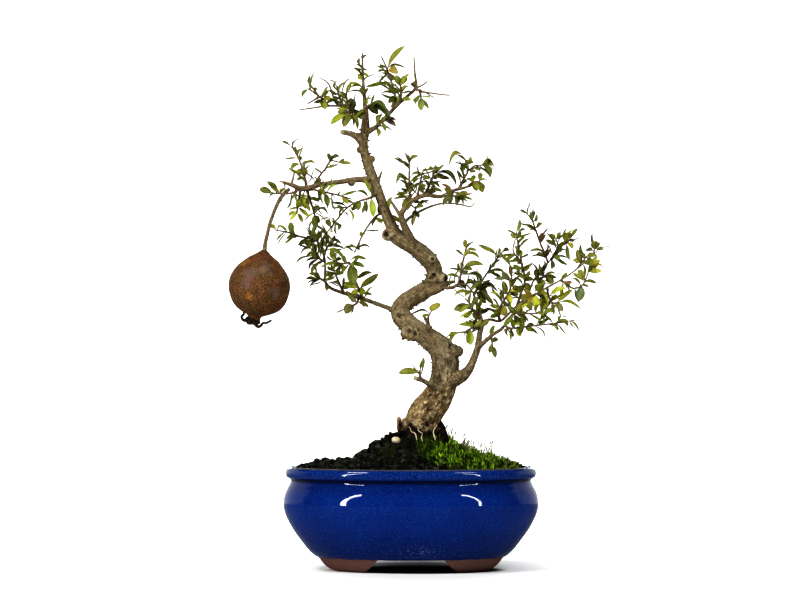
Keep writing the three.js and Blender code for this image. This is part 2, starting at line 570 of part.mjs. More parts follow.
// Each shoot has its twigs, as [x, y, z, radius] points that start inside the branch that carries them,
// and its leaves, as [x, z of the foot, x, z of the tip, width seen from the front, arch].
const shoots = {
  leader_shoot: {
    twigs: [
      [
        [-36.4, 0, 368, 1.4], [-37.2, 0, 378, 1.3], [-38, 1.4, 388, 1], [-38.6, 1.4, 399, 0.8],
        [-38.8, 2.9, 413, 0.5],
      ],
      [[-36.8, 0, 373, 1], [-36, -11.6, 369, 0.8], [-33.5, -20.3, 371, 0.5]],
    ],
    leaves: [
      [-38.5, 396, -42, 391.5, 4.2, 0], [-38.7, 401, -41, 409.5, 1.8, -1.5],
      [-37.5, 384, -47.5, 386, 1.6, 1.6], [-37.3, 379, -35, 386, 2.4, 0], [-33.5, 370.5, -16, 360, 5, 2.2],
      [-34.5, 370.5, -26, 364.5, 4.6, 0.8], [-36.6, 366, -42, 362, 4.6, 0.4],
      [-36.8, 362, -36, 357, 2.6, 0], [-33, 371, -19, 366, 4, 3.2],
    ],
  },
  crown_left_outer_shoot: {
    twigs: [
      [[-66, 9, 371.3, 0.6], [-69.5, 2.9, 376, 0.7], [-74, -2.9, 379, 0.6], [-81.5, -7.2, 384.5, 0.5]],
      [[-74, -2.9, 379, 0.6], [-80.6, 2.9, 388.5, 0.4]],
      [[-73, -2, 378.4, 0.6], [-82, -11.6, 372.4, 0.4]],
    ],
    leaves: [
      [-71, 378, -68, 368, 5.6, 0], [-71, 379, -66, 384, 3.4, 0.4], [-70, 377, -63.5, 377, 3, 0.5],
      [-81, 384, -85.5, 376.5, 2.2, 2.6], [-72, 380, -66, 386, 2.2, 0],
    ],
  },
  crown_left_low_shoot: {
    twigs: [
      [[-46, 7.8, 368, 1], [-47.5, -1.4, 366.4, 0.8], [-50, -8.7, 366, 0.6], [-54, -13, 366, 0.4]],
      [[-47.5, -1.4, 366.4, 0.8], [-50, -4.3, 372, 0.7], [-51.5, -7.2, 379, 0.6], [-51, -10.2, 384, 0.4]],
    ],
    leaves: [
      [-48, 366, -64, 355.5, 5, 2.6], [-49, 365.5, -54.5, 354.5, 6, 0.3], [-48, 366, -51, 357, 4, 0],
      [-50, 367, -59, 366.5, 4, 1], [-47.5, 366, -42, 357, 3, 0], [-47, 366.5, -46.5, 377, 5.5, 0],
      [-46.5, 366, -38.5, 359.5, 3.6, 0.6], [-51.6, 380, -48, 389, 3.2, 0], [-51.3, 377, -56, 381, 2, 0],
      [-51, 374, -46.5, 376.5, 4.5, 0],
    ],
  },
  crown_middle_shoot: {
    twigs: [
      [
        [-10.5, -10.2, 371.6, 1], [-12.5, -4.3, 378, 0.8], [-14, 0, 385, 0.7], [-16.5, 4.3, 393, 0.6],
        [-19, 7.2, 401, 0.4],
      ],
      [[-19, 7.2, 401, 0.5], [-23.5, 11.6, 411, 0.4]],
    ],
    leaves: [
      [-18.5, 401, -4.6, 418.6, 4.2, 1.6], [-18, 402, -3.5, 401.5, 2.2, 1.8], [-18, 400, -10.5, 397, 6, 2],
      [-18, 399, -12, 393, 5, -1.6], [-19.5, 400, -26.5, 397.6, 1.8, 1], [-19, 399, -26.5, 389, 1.8, 0],
      [-14, 386, -36, 386, 3, 3.6], [-12.7, 380, -24.5, 381, 2, 2], [-12.8, 378, -18, 373, 4, 0.2],
      [-12.4, 376, -15.6, 369.6, 3, 0],
    ],
  },
  crown_right_leaf_shoot: {
    twigs: [
      [[-8.2, -12, 373.8, 0.9], [-8, -20.3, 379, 0.7], [-8, -24.6, 384, 0.6], [-9, -27.6, 388, 0.4]],
    ],
    leaves: [[-8, 385, -11.6, 393.5, 5, 0], [-8, 386, -4, 393.5, 5, 0], [-8.6, 388, -2, 394.5, 1.6, 0.6]],
  },
  crown_low_right_shoot: {
    twigs: [[[-28, -2, 354.2, 1], [-25, -11.6, 356, 0.8], [-21, -17.4, 358.4, 0.5]]],
    leaves: [
      [-27, 354.5, -26, 345.5, 3, 0.5], [-23, 357, -19.5, 350.6, 2.4, 0.6],
      [-21, 358.4, -11.6, 354, 3.6, 1.6], [-21, 359, -16, 362, 2.6, 0], [-24, 357, -20, 362, 4, 0],
    ],
  },
  fruit_branch_upright_shoot: {
    twigs: [
      [
        [-83, -15.9, 305, 1], [-84.4, -11.6, 312, 0.8], [-86.6, -7.2, 320, 0.7], [-88.6, -4.3, 326, 0.6],
        [-92, -1.4, 333, 0.5], [-95.5, 0, 338.4, 0.3],
      ],
    ],
    leaves: [
      [-93, 334.5, -92.3, 338, 2.2, 0], [-88.6, 326, -90.5, 332, 1.6, 0],
      [-87.8, 323.5, -95.5, 319, 3.2, 1.8], [-87, 321.5, -89, 315.5, 3.2, 0],
      [-85.3, 315, -82.6, 320, 3.4, 0], [-87.6, 323, -78.5, 327.5, 1.6, 2],
      [-87, 321.5, -75.5, 324.6, 2, 2], [-85, 313, -86, 319.5, 3, 0],
    ],
  },
  fruit_branch_back_shoot: {
    twigs: [
      [
        [-77, -15.1, 306.8, 0.9], [-75, -5.8, 311.5, 0.7], [-71.6, 2.9, 317, 0.6],
        [-68.8, 8.7, 320.6, 0.6], [-64, 13, 327.5, 0.5], [-57, 15.9, 326.3, 0.3],
      ],
    ],
    leaves: [
      [-64.3, 327.5, -66.6, 332.8, 2.8, 0], [-63.8, 327.5, -62.8, 332, 2.8, 0],
      [-57, 326.4, -47.5, 325, 2.6, -0.4],
    ],
  },
  fruit_branch_hanging_shoot: {
    twigs: [
      [
        [-88, -17.4, 304.6, 1], [-88.6, -20.3, 299, 0.8], [-90, -23.2, 292, 0.7],
        [-90.6, -24.6, 284.6, 0.4],
      ],
    ],
    leaves: [
      [-90.5, 288.5, -96, 279, 2.6, 0], [-90.6, 285, -86, 277.5, 2.8, 0.3],
      [-90.2, 289.5, -81.4, 282, 3, 0.4], [-88.6, 298, -81, 291.5, 3.8, 0.5],
      [-88.6, 297, -91.4, 289.5, 3, -0.6], [-89, 296, -87.6, 290, 2.6, 0],
    ],
  },
  fruit_branch_inner_shoot: {
    twigs: [
      [
        [-83, -15.9, 304.6, 1], [-81, -7.2, 297, 0.8], [-78.6, -1.4, 289.6, 0.7], [-76.6, 2.9, 282, 0.6],
        [-74.8, 5.8, 275.6, 0.4],
      ],
    ],
    leaves: [
      [-77, 284, -77.4, 274.5, 4.6, 0], [-76.8, 283, -73.4, 277.6, 3, 0.4],
      [-77.4, 285.6, -66, 284, 2, 3.4], [-78, 287.4, -76, 292, 2, 0], [-77.4, 286, -73.4, 290.6, 2, 0],
    ],
  },
  fruit_branch_long_shoot: {
    twigs: [
      [
        [-79, -15.7, 306, 0.8], [-76, -21.8, 303.4, 0.6], [-68, -24.6, 301.4, 0.6],
        [-58, -23.2, 299.2, 0.5], [-47, -20.3, 296, 0.3],
      ],
    ],
    leaves: [
      [-68.6, 301.4, -65.8, 289.5, 4.6, 0.4], [-69, 301.5, -73, 300, 3.4, 0.6],
      [-55, 298.6, -50, 291.6, 2.8, 0.2], [-75, 303, -73.6, 294.5, 2.2, 2],
    ],
  },
  trunk_left_shoot: {
    twigs: [
      [
        [-26, -4.9, 301, 1], [-33, -11.6, 297, 0.8], [-40, -14.5, 295, 0.6], [-50, -13, 290, 0.5],
        [-59, -8.7, 280, 0.5], [-66, -5.8, 271, 0.4], [-70, -5.8, 266, 0.3],
      ],
    ],
    leaves: [
      [-64.5, 273, -66.6, 280, 4.2, 0], [-62, 276, -60, 280, 1.8, 0], [-54, 286.5, -58.6, 290.6, 2, 0],
      [-42, 294.6, -47, 286.8, 3.8, 0], [-41, 295, -42, 286.6, 3.4, 0], [-36, 296, -38.6, 284.6, 3, 0],
      [-31.6, 298, -30, 281.5, 5.2, 0.4], [-33, 297, -45, 302, 2.2, 2.4], [-32, 298, -31, 305, 3, 0],
      [-68, 269, -66, 264, 2, 0],
    ],
  },
  trunk_left_low_shoot: {
    twigs: [
      [
        [-20, -7.8, 285, 0.9], [-27, -2.9, 283.4, 0.7], [-36, 1.4, 272.4, 0.6], [-41, 2.9, 263, 0.5],
        [-45, 4.3, 254, 0.4],
      ],
    ],
    leaves: [
      [-44.6, 255, -53.4, 258.4, 2, 1.6], [-44, 256.4, -32.5, 257, 1.8, 1.6],
      [-38, 269, -41, 266.6, 2.6, 0.4], [-26, 283.5, -30.6, 274.6, 2.6, 2],
    ],
  },
  lower_left_top_shoot: {
    twigs: [
      [
        [-71, 23.2, 257, 0.9], [-75, 15.9, 262.6, 0.7], [-81, 11.6, 265.4, 0.6], [-88, 7.2, 266.4, 0.6],
        [-97, 0, 269.6, 0.5], [-108, -5.8, 271.6, 0.3],
      ],
    ],
    leaves: [
      [-96, 269.4, -96, 277.6, 4.6, 0], [-99, 270, -105.6, 276, 1.8, 0], [-89, 266.6, -96.6, 268, 3, 0],
      [-79, 264.8, -82, 257.5, 3, 0.8], [-77, 263.8, -78.4, 271.6, 2.4, 0], [-75, 262.6, -72, 271, 3, 0],
      [-76, 263, -83, 268.6, 2, 1.6],
    ],
  },
  lower_left_outer_shoot: {
    twigs: [[[-69.4, 27, 247, 0.8], [-72.6, 18.8, 248.4, 0.7], [-77, 13, 253, 0.6], [-81, 8.7, 258, 0.3]]],
    leaves: [
      [-73, 248.6, -80, 256, 4.6, -1], [-77, 253, -77, 261.4, 3, 0], [-80.6, 257.4, -87.4, 262.8, 1.6, 0],
      [-80.6, 257.4, -88.6, 251.6, 1.6, 1.2], [-76, 252, -92, 244.6, 1.8, 3],
      [-74, 249.4, -82, 239, 2.4, 2.4], [-72.4, 248.4, -80, 236.6, 3.2, 1.6],
    ],
  },
  lower_left_middle_shoot: {
    twigs: [
      [[-54, 24.1, 221.4, 0.9], [-57, 15.9, 228, 0.8], [-60, 10.2, 235.4, 0.6], [-62, 7.2, 241, 0.4]],
    ],
    leaves: [
      [-60, 235.4, -56.6, 241, 3.6, 0], [-59.6, 234.6, -53.6, 238, 3.2, 0.8],
      [-60, 236, -68.4, 231.4, 2.8, 0.3], [-61, 238, -66.6, 243.4, 2.2, 0],
      [-61.6, 240, -64, 244.6, 1.6, 0],
    ],
  },
  lower_left_inner_shoot: {
    twigs: [
      [
        [-38.6, 19.7, 216.6, 1.1], [-41, 10.2, 223, 0.9], [-44, 2.9, 230, 0.8], [-47, -2.9, 238, 0.7],
        [-49, -5.8, 245.6, 0.5],
      ],
      [[-49, -5.8, 245.6, 0.6], [-55, -10.2, 245, 0.5], [-62, -13, 247, 0.3]],
    ],
    leaves: [
      [-49, 245, -46, 228.5, 8.6, 0.6], [-48.6, 243.6, -43.6, 234, 4.4, 1.2],
      [-49, 246, -35, 248, 2.4, 2.4], [-48.8, 245, -37.4, 242.4, 3.4, 1],
      [-50, 246, -66.6, 256.4, 3.2, 3.6], [-60.6, 246.6, -64, 256, 4.6, 0], [-52, 245.4, -54, 251, 2.6, 0],
      [-41, 224, -26, 236.6, 5.2, 1.2], [-41, 223, -36, 222, 5.4, 0.6], [-41.6, 224.6, -53, 229, 4.8, 0.6],
      [-40.6, 222, -31.4, 220.4, 2, 0.4], [-60, 246.4, -56.4, 250.4, 1.6, 0],
    ],
  },
  middle_right_inner_shoot: {
    twigs: [
      [[0, -24.6, 293.6, 1.1], [-1, -18.8, 301, 0.8], [-1.4, -14.5, 311, 0.7], [-1.2, -11.6, 325, 0.4]],
    ],
    leaves: [
      [-1.3, 312, -12, 307.6, 3.4, 5], [-1.2, 311, -1, 302.6, 7, 0], [-1.3, 312, 11, 315, 2, 3],
      [-1, 301, -12, 299.6, 3.2, 0.8], [-1, 300, -7.4, 288.5, 4.6, 0], [-1, 300, -14, 295.6, 2, 0.8],
    ],
  },
  middle_right_top_shoot: {
    twigs: [
      [[11, -27.6, 298.8, 1.1], [14, -21.8, 306, 0.9], [17.4, -18.8, 314, 0.8], [18.6, -17.4, 320, 0.5]],
    ],
    leaves: [
      [18, 316, 19.6, 323, 2.6, 0], [18.4, 318, 12.4, 319, 1.8, 1.8], [18, 316.6, 36, 306.4, 2.2, 5.4],
      [17.6, 314.6, 28, 312, 3.8, 1.4], [18, 316, 34.6, 309, 2, 3.6], [17, 312.6, 9, 311, 2.2, 0.8],
      [14, 306, 22.6, 305, 1.6, 3], [15, 308, 19.6, 306, 2.4, 0.4], [13, 303.6, 19, 302.4, 1.6, 0],
    ],
  },
  middle_right_outer_shoot: {
    twigs: [
      [[38, -31.3, 303.8, 1], [42, -27.6, 312, 0.8], [45.4, -24.6, 319, 0.6], [44.6, -23.2, 327, 0.4]],
      [[45.4, -24.6, 319, 0.6], [50, -26.1, 320.6, 0.5], [57, -29, 323.4, 0.3]],
    ],
    leaves: [
      [44.7, 326, 30.4, 321.6, 3.2, 8], [44.8, 325, 40.4, 319.8, 4.8, 0.4], [44.8, 326, 48, 328.8, 1.8, 0],
      [45, 324, 49.6, 326.4, 1.8, 0.3], [56, 323, 66, 321.6, 4.4, 3.6], [56, 323, 63.4, 312.6, 4.6, 3],
      [46, 319, 51, 316.6, 2.4, 0],
    ],
  },
  middle_right_under_shoot: {
    twigs: [[[33, -30.4, 302.2, 1], [33, -37.7, 298.6, 0.7], [36, -40.6, 297, 0.5]]],
    leaves: [
      [35, 297.6, 45, 301, 3, 0.4], [35, 297.4, 41, 296, 3.6, 0.6], [36, 297, 48.6, 294.8, 2, 1],
      [34, 298, 38, 293.4, 4.6, 1.2], [33, 298.4, 25, 292.6, 4.2, 0.4], [33, 299, 24.4, 308.4, 2.8, 0.6],
      [33, 298.6, 26.4, 303.6, 3, 0],
    ],
  },
  shoulder_shoot: {
    twigs: [
      [
        [18, 4.3, 229, 1.4], [30, -2.9, 225.4, 1.2], [37.4, -7.2, 228.4, 1], [39.6, -8.7, 236, 0.8],
        [40.6, -8.7, 243, 0.7], [42.6, -8.7, 251, 0.6], [44, -8.7, 258, 0.3],
      ],
      [[37.4, -7.2, 228.4, 0.8], [44, -11.6, 228, 0.7], [49.6, -14.5, 221.6, 0.5]],
    ],
    leaves: [
      [44, 257, 42.6, 264, 2.8, 0], [43.8, 256, 49.8, 262.2, 1.6, 0.8], [42.4, 250.6, 55, 249.4, 2.4, 2.4],
      [41.6, 247.6, 40.4, 241.6, 3, -0.4], [40, 238.6, 37, 245.4, 2, 0], [39.8, 237, 29.6, 241, 1.6, 1.2],
      [40, 238, 58, 244, 4.2, 2.2], [39, 233.6, 28, 234.6, 2.2, 2.2], [39.8, 236, 56, 232.4, 2, 2],
      [42, 228.4, 40, 232.4, 3, 0], [44, 228, 48.6, 231.6, 4, 0.4], [47, 225, 57, 231, 3.2, 0.6],
      [48, 224, 52, 227.4, 1.6, 0], [49.4, 222, 34.5, 218.4, 2.6, 1.8],
    ],
  },
  lower_right_inner_shoot: {
    twigs: [
      [[55, -14.5, 204, 1], [49.6, -20.3, 207, 0.8], [47.6, -23.2, 212, 0.6], [43, -26.1, 217, 0.4]],
    ],
    leaves: [
      [48, 211, 34.4, 207.6, 5.8, 1], [49, 208, 42, 202, 3.2, 0], [48.6, 208.4, 44, 200.6, 2.6, 0.4],
      [50, 206.8, 54.6, 200.4, 7, 0.4], [48, 211, 53, 217.6, 4.2, 0],
    ],
  },
  lower_right_low_shoot: {
    twigs: [
      [
        [55.6, -18.8, 193, 1.1], [49, -26.1, 194, 0.9], [44, -29, 190.8, 0.7], [36, -30.4, 189.6, 0.5],
        [28.6, -31.9, 187, 0.3],
      ],
    ],
    leaves: [
      [47, 193, 46.8, 180.4, 6, 0], [49, 194, 38.4, 196, 2.8, 1], [38, 189.8, 30, 187.6, 2.4, 0.4],
      [48.4, 194, 46.6, 200, 3, 0], [50, 194, 56, 199.6, 3, 0],
    ],
  },
  lower_right_rear_shoot: {
    twigs: [
      [
        [50.4, -5.8, 220, 0.9], [54, 2.9, 226.6, 0.7], [58, 8.7, 232.6, 0.6], [62.6, 13, 239.4, 0.6],
        [67, 15.9, 246, 0.5], [70, 17.4, 250, 0.5], [75, 20.3, 256, 0.3],
      ],
    ],
    leaves: [
      [70, 250, 54, 260, 3.2, 2.2], [70, 250, 70.8, 258.2, 1.8, 0], [64, 241.6, 68.4, 244.6, 2, 0.3],
      [63, 240, 76, 237.4, 2.4, 2.4], [62.6, 239, 73, 230.6, 2.8, 0.4], [58, 232.6, 45, 236.4, 2.2, 2],
      [57, 231, 64, 227, 1.8, 1], [55, 228, 48.4, 229.6, 3.2, 0.4], [56, 230, 61.6, 218, 3, 0.4],
      [54, 226.6, 60, 216, 4, 0.4], [55, 228, 70.4, 221.6, 1.8, 1.4], [52, 223.4, 60, 213.4, 4.6, 0],
      [53, 225, 66, 212, 4, 0.8],
    ],
  },
  lower_right_middle_shoot: {
    twigs: [
      [
        [71, -4.6, 199.2, 1], [70, -13, 206, 0.9], [73, -18.8, 214, 0.8], [78, -23.2, 222, 0.7],
        [80, -24.6, 232, 0.5], [79.4, -24.6, 242, 0.3],
      ],
    ],
    leaves: [
      [79.6, 240, 70.4, 254, 2.6, 1.6], [79.6, 240, 88.4, 240.4, 2.6, 1.6],
      [79.6, 238, 90.4, 231.6, 2.2, 1.8], [80, 234, 79, 243.6, 3, 0], [79.6, 230, 72.4, 238, 4.6, 0],
      [78.6, 225, 84.4, 233, 3, 0], [77, 220.4, 72.6, 230.6, 4.6, 0], [78, 222, 86, 219.6, 5, 0.6],
      [78, 222, 78.6, 212, 4.6, 0], [73, 214, 64, 226, 2, 0.8], [73, 214, 62, 222, 2.2, 0.8],
      [72, 211.6, 75, 203, 6, 0.3], [71, 208.6, 66, 204.4, 3.4, 0.3], [71, 209, 62.6, 211.6, 3.2, 0.5],
      [74, 216, 69.6, 221.6, 3, 0],
    ],
  },
  lower_right_high_shoot: {
    twigs: [
      [
        [85.6, 8.1, 211.8, 1], [87.6, 1.4, 220, 0.8], [91, -2.9, 230.6, 0.7], [88.4, -5.8, 246, 0.6],
        [85.8, -7.2, 258, 0.5], [84, -8.7, 270, 0.3],
      ],
      [[88.4, -5.8, 246, 0.6], [81.6, -10.2, 255, 0.4], [83, -13, 264, 0.3]],
    ],
    leaves: [
      [84, 269, 86.6, 280.4, 2.8, 0.3], [84.3, 267, 77.4, 271.6, 1.6, 0.3],
      [84.6, 265, 78.6, 268.2, 2.2, 0], [85.8, 258.4, 94.6, 264.6, 1.8, 0.5], [86, 257.6, 88, 250, 4.2, 0],
      [82.4, 253, 70, 249, 2, 1.2], [84, 251.6, 76, 247, 2.6, 0.8], [89, 243, 83, 245, 1.8, 0.6],
      [90.6, 231, 95.4, 239.4, 2.4, 0], [90.6, 229.6, 96.4, 223, 5, 0], [90, 228, 84.6, 223, 4, 0.4],
      [89, 225, 96.6, 218, 3.8, 0.6], [88, 222, 80.6, 226.6, 4.6, 0.4], [87.6, 220, 97, 208, 6, 0.6],
    ],
  },
  lower_right_tall_shoot: {
    twigs: [
      [
        [110.4, 22.3, 246, 0.6], [108, 14.5, 252, 0.7], [103.6, 8.7, 262, 0.6], [99.6, 2.9, 273, 0.5],
        [96.6, 0, 280, 0.4], [91.6, -2.9, 286.4, 0.3],
      ],
    ],
    leaves: [
      [97, 279, 95.4, 285.6, 3, 0], [97, 279, 98.8, 286.8, 3, 0], [99.4, 273.4, 105.4, 276.6, 2.6, 0.4],
      [103.4, 262.4, 105.6, 270, 3.6, 0], [108.2, 251.6, 95.4, 255, 2, 2.8],
      [108.6, 250, 110.4, 257, 3.6, 0], [109, 249.4, 113, 257.4, 1.6, 0],
    ],
  },
  lower_right_crest_shoot: {
    twigs: [[[113, 23.5, 248.2, 0.9], [116, 15.9, 254, 0.7], [118, 11.6, 260, 0.5], [116, 8.7, 265, 0.3]]],
    leaves: [
      [117.6, 259.4, 108, 263.6, 3.2, 0.4], [116.4, 264, 112.4, 269, 2.8, 0],
      [116.4, 264, 119.6, 270, 2.8, 0], [117, 256, 123.6, 263, 3, 0], [115.6, 253, 119, 248, 3.6, 0],
    ],
  },
  lower_right_olive_shoot: {
    twigs: [[[99, 17.4, 232, 0.6], [103, 11.6, 233, 0.7], [109, 7.2, 235, 0.5]]],
    leaves: [
      [101, 232.6, 100.6, 241, 5, 0], [103, 233, 96, 246.4, 1.8, 0.6], [104, 233.4, 103, 245, 2.4, 0],
      [104, 233.4, 117, 234.4, 3.6, 1.4], [101, 232.4, 104.6, 226, 3.4, 0], [106, 234, 107, 247.6, 1.6, 0],
    ],
  },
  lower_right_outer_shoot: {
    twigs: [
      [
        [119, -26.4, 231.6, 0.8], [123, -18.8, 229, 0.6], [130, -13, 225, 0.5], [137, -8.7, 228, 0.4],
        [141, -5.8, 236, 0.4], [142.4, -4.3, 243, 0.3],
      ],
    ],
    leaves: [
      [136.6, 227.8, 134, 214.6, 7, 0], [136, 227.4, 127.4, 232.6, 1.6, 1.6],
      [137.4, 228.8, 148.4, 229, 2.2, 2.2], [138.6, 231, 134, 240.4, 4.8, 0.4],
      [138, 230, 128.6, 237, 3, 0.6], [141.6, 239.4, 150.6, 247.6, 4.8, 0],
      [141.4, 238, 151.6, 239.4, 3.8, 0.6], [123, 229, 127, 226.4, 4, 0],
      [142.2, 242, 148.8, 250.6, 2.8, 0.4],
    ],
  },
  lower_right_top_shoot: {
    twigs: [[[133, -20.9, 241.6, 0.6], [135, -27.6, 245, 0.6], [139.6, -31.9, 250.6, 0.4]]],
    leaves: [
      [134.6, 244.6, 132.4, 256.4, 4.8, 0], [136, 246.4, 130.6, 246.4, 2.4, 0.6],
      [138.4, 249.4, 134, 253, 4, 0], [139.4, 250.4, 135.4, 260.2, 2.2, -1.6], [139, 250, 144, 243, 3, 0.4],
      [136, 246, 143, 244.4, 2.8, 0.8],
    ],
  },
  lower_right_belly_shoot: {
    twigs: [
      [[108, -30.2, 225.8, 0.8], [109, -36.2, 219, 0.7], [112, -39.1, 213.6, 0.6], [117, -42, 214, 0.4]],
    ],
    leaves: [
      [109, 219.6, 102.6, 206.4, 4.4, 0.4], [111, 215, 104, 208.6, 4, 0.6], [110, 217, 101.6, 216, 2, 1.4],
      [115, 213.4, 127.6, 224.4, 3.4, 0.6], [114, 213.4, 119.6, 207.4, 4.8, 0.4],
      [116, 213.8, 135, 207.6, 2.8, 1.8], [109, 219, 123, 225.2, 3.6, 2.2],
      [111, 215, 122.6, 221, 1.8, 0.4], [113, 213.4, 112, 205.6, 3, 0],
    ],
  },
  lower_right_long_shoot: {
    twigs: [
      [
        [74.4, -41.2, 195.6, 0.7], [78, -47.9, 193.4, 0.7], [92, -50.8, 195, 0.6],
        [106, -52.2, 196.6, 0.5], [118, -52.2, 198, 0.4], [129, -52.2, 200, 0.3],
      ],
    ],
    leaves: [
      [113, 197.4, 124, 199.4, 2.2, 1.4], [112, 197.2, 103, 205, 2, 0.8], [112, 197.3, 115, 192, 1.6, 0.5],
      [91, 195, 97.4, 196.8, 2, 0.4], [90, 194.8, 84, 203, 1.8, 0], [80, 193.6, 78.6, 184, 2, 1],
      [84, 194, 86.4, 187, 3.6, 0],
    ],
  },
  lower_right_front_shoot: {
    twigs: [
      [
        [79.6, -40, 203, 1], [80.6, -47.9, 204.6, 0.8], [84, -52.2, 205.4, 0.6], [95, -55.1, 205, 0.5],
        [104, -56.5, 206, 0.3],
      ],
    ],
    leaves: [
      [80.6, 204.6, 73.4, 195, 4, 0], [81, 204.8, 84.6, 195.6, 4.4, 0.4], [83, 205.2, 76, 210.6, 4, 0],
      [84, 205.4, 89.4, 206, 4, 0.6], [83, 205.4, 86.6, 214, 4, 0], [85, 205.4, 93, 198.6, 2.2, 0.4],
      [86, 205.4, 86.4, 188, 4.2, 0.2], [103, 206, 103.6, 201.4, 3, 0],
    ],
  },
  trunk_stub_shoot: {
    twigs: [[[8, -25.5, 152.2, 1], [7, -29, 157, 0.7], [7.4, -30.4, 162, 0.3]]],
    leaves: [[7, 158, -10, 158.4, 5.4, 1.6], [7.2, 160, 10, 169.6, 3, 0]],
  },
  trunk_bend_shoot: {
    twigs: [[[13.4, -20.3, 198, 1], [14, -23.2, 203, 0.6], [16, -24.6, 206.4, 0.3]]],
    leaves: [[16, 206.4, 23, 212.6, 4.6, 0.6], [14.6, 204.6, -1, 204, 1.8, 2], [15, 205.4, 9, 201.6, 2, 0]],
  },
};

const branchWood = woody.slice();
for (const [name, { twigs, leaves }] of Object.entries(shoots)) {
  const grown = wood(twigs, [], { sides: twigSides, stepsPerSpan: 1 });
  leafy.push({ piece: addPiece(name, grown, branchWood), twigs, leaves, colour: 0x6f7d22, roughness: 0.6 });
}

function addLeaf(piece, twigs, [footX, footZ, tipX, tipZ, seen, arch], index) {
  const foot = nearestOnTwigs(twigs, footX, footZ);
  const seenLength = Math.hypot(tipX - foot.x, tipZ - foot.z);
  const lean = Math.sqrt(Math.max((0.25 * seenLength) ** 2, leafLength ** 2 - seenLength ** 2));
  for (const swing of swings) {
    const tip = new THREE.Vector3(tipX, foot.y + (index % 2 ? lean : -lean) + swing, tipZ);
    const guard = blade(foot, tip, seen, arch, gap / 2);
    if (isClear(solidFrom(guard), boxOf(guard), piece.name)) {
      piece.solid = piece.solid.add(solidFrom(blade(foot, tip, seen, arch)));
      piece.box = solidBox(piece.solid);
      return;
    }
  }
}

for (const { piece, twigs, leaves, colour, roughness } of leafy) {
  leaves.forEach((leaf, index) => addLeaf(piece, twigs, leaf, index));
  addNode(piece.name, piece.solid, colour, roughness);
}

group.updateMatrixWorld(true);
const box = new THREE.Box3().setFromObject(group);
const middle = box.getCenter(new THREE.Vector3());
group.position.set(-middle.x, -middle.y, 0);

export default group;
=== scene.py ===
import math

import bpy
import numpy as np
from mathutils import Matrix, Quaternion, Vector


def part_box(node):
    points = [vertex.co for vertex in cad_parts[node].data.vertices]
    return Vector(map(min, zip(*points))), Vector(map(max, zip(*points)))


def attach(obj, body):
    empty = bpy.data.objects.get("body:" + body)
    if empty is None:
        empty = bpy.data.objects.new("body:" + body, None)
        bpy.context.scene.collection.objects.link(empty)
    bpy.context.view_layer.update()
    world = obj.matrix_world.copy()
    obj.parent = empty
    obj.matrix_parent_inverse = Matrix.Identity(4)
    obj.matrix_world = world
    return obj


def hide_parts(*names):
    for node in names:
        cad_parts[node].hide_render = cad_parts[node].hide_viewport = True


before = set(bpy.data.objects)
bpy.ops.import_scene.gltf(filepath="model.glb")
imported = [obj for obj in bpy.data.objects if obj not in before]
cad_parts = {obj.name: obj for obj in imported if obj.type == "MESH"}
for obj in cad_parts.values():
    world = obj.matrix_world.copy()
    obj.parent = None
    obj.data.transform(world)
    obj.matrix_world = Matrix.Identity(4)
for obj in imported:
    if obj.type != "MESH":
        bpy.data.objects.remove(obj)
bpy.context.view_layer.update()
potMiddle = np.mean(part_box("pot"), axis=0) * [1, 1, 0]
seeded = np.random.default_rng
chance = seeded(7)
scene = bpy.context.scene


def addObject(name, data):
    made = bpy.data.objects.new(name, data)
    scene.collection.objects.link(made)
    return made


def cellRandom(cells, seed):
    # a repeatable number from -1 to 1 for each cell, by multiplying and mixing its bits
    mixed = cells[..., 0] * 73856093 ^ cells[..., 1] * 19349663 ^ cells[..., 2] * 83492791 ^ seed * 9176131
    mixed = (mixed ^ (mixed >> 13)) & 0x7FFFFFFF
    mixed = mixed * 1274126177 & 0x7FFFFFFF
    mixed = (mixed ^ (mixed >> 15)) * 668265261 & 0x7FFFFFFF
    return (mixed ^ (mixed >> 14)) / 0x3FFFFFFF - 1


def softNoise(points, seed=0):
    # the random numbers at the eight corners of a point's cell, blended by a smooth curve
    cells = np.floor(points).astype(np.int64)
    inside = points - cells
    fade = inside ** 3 * (inside * (inside * 6 - 15) + 10)
    total = np.zeros(points.shape[:-1])
    for corner in np.ndindex(2, 2, 2):
        weight = np.prod(np.where(np.array(corner) == 1, fade, 1 - fade), axis=-1)
        total += weight * cellRandom(cells + np.array(corner), seed)
    return total


def layeredNoise(points, layers=4, seed=0):
    # soft noise, plus itself at half the size and half the strength, and so on
    total, strength = np.zeros(points.shape[:-1]), 1.0
    for layer in range(layers):
        total += strength * softNoise(points * 2.03 ** layer + 17.3 * layer, seed + layer)
        strength *= 0.5
    return total / (2 - 2 * strength)


def sizeOf(vectors):
    return np.linalg.norm(vectors, axis=-1)


def unit(vectors):
    return vectors / np.maximum(sizeOf(vectors)[..., None], 1e-9)


def joined(*coordinates):
    return np.stack(np.broadcast_arrays(*coordinates), axis=-1)


def smoothStep(value, low, high):
    t = np.clip((value - low) / (high - low), 0, 1)
    return t * t * (3 - 2 * t)


def tubeFaces(rows, sides, count=1):
    # faces of tubes stored as rows of rings, then a start point and an end point
    ring = np.arange(rows * sides).reshape(rows, sides)
    after = np.roll(ring, -1, axis=1)
    quads = joined(ring[:-1], after[:-1], after[1:], ring[1:]).reshape(-1, 4)
    pole = np.full(sides, rows * sides)
    startFan = joined(pole, after[0], ring[0])
    endFan = joined(pole + 1, ring[-1], after[-1])
    first = (np.arange(count) * (rows * sides + 2))[:, None, None]
    tris = np.concatenate([startFan, endFan])
    return (quads + first).reshape(-1, 4), (tris + first).reshape(-1, 3)


def around(sides):
    return np.linspace(0, 2 * np.pi, sides, endpoint=False)


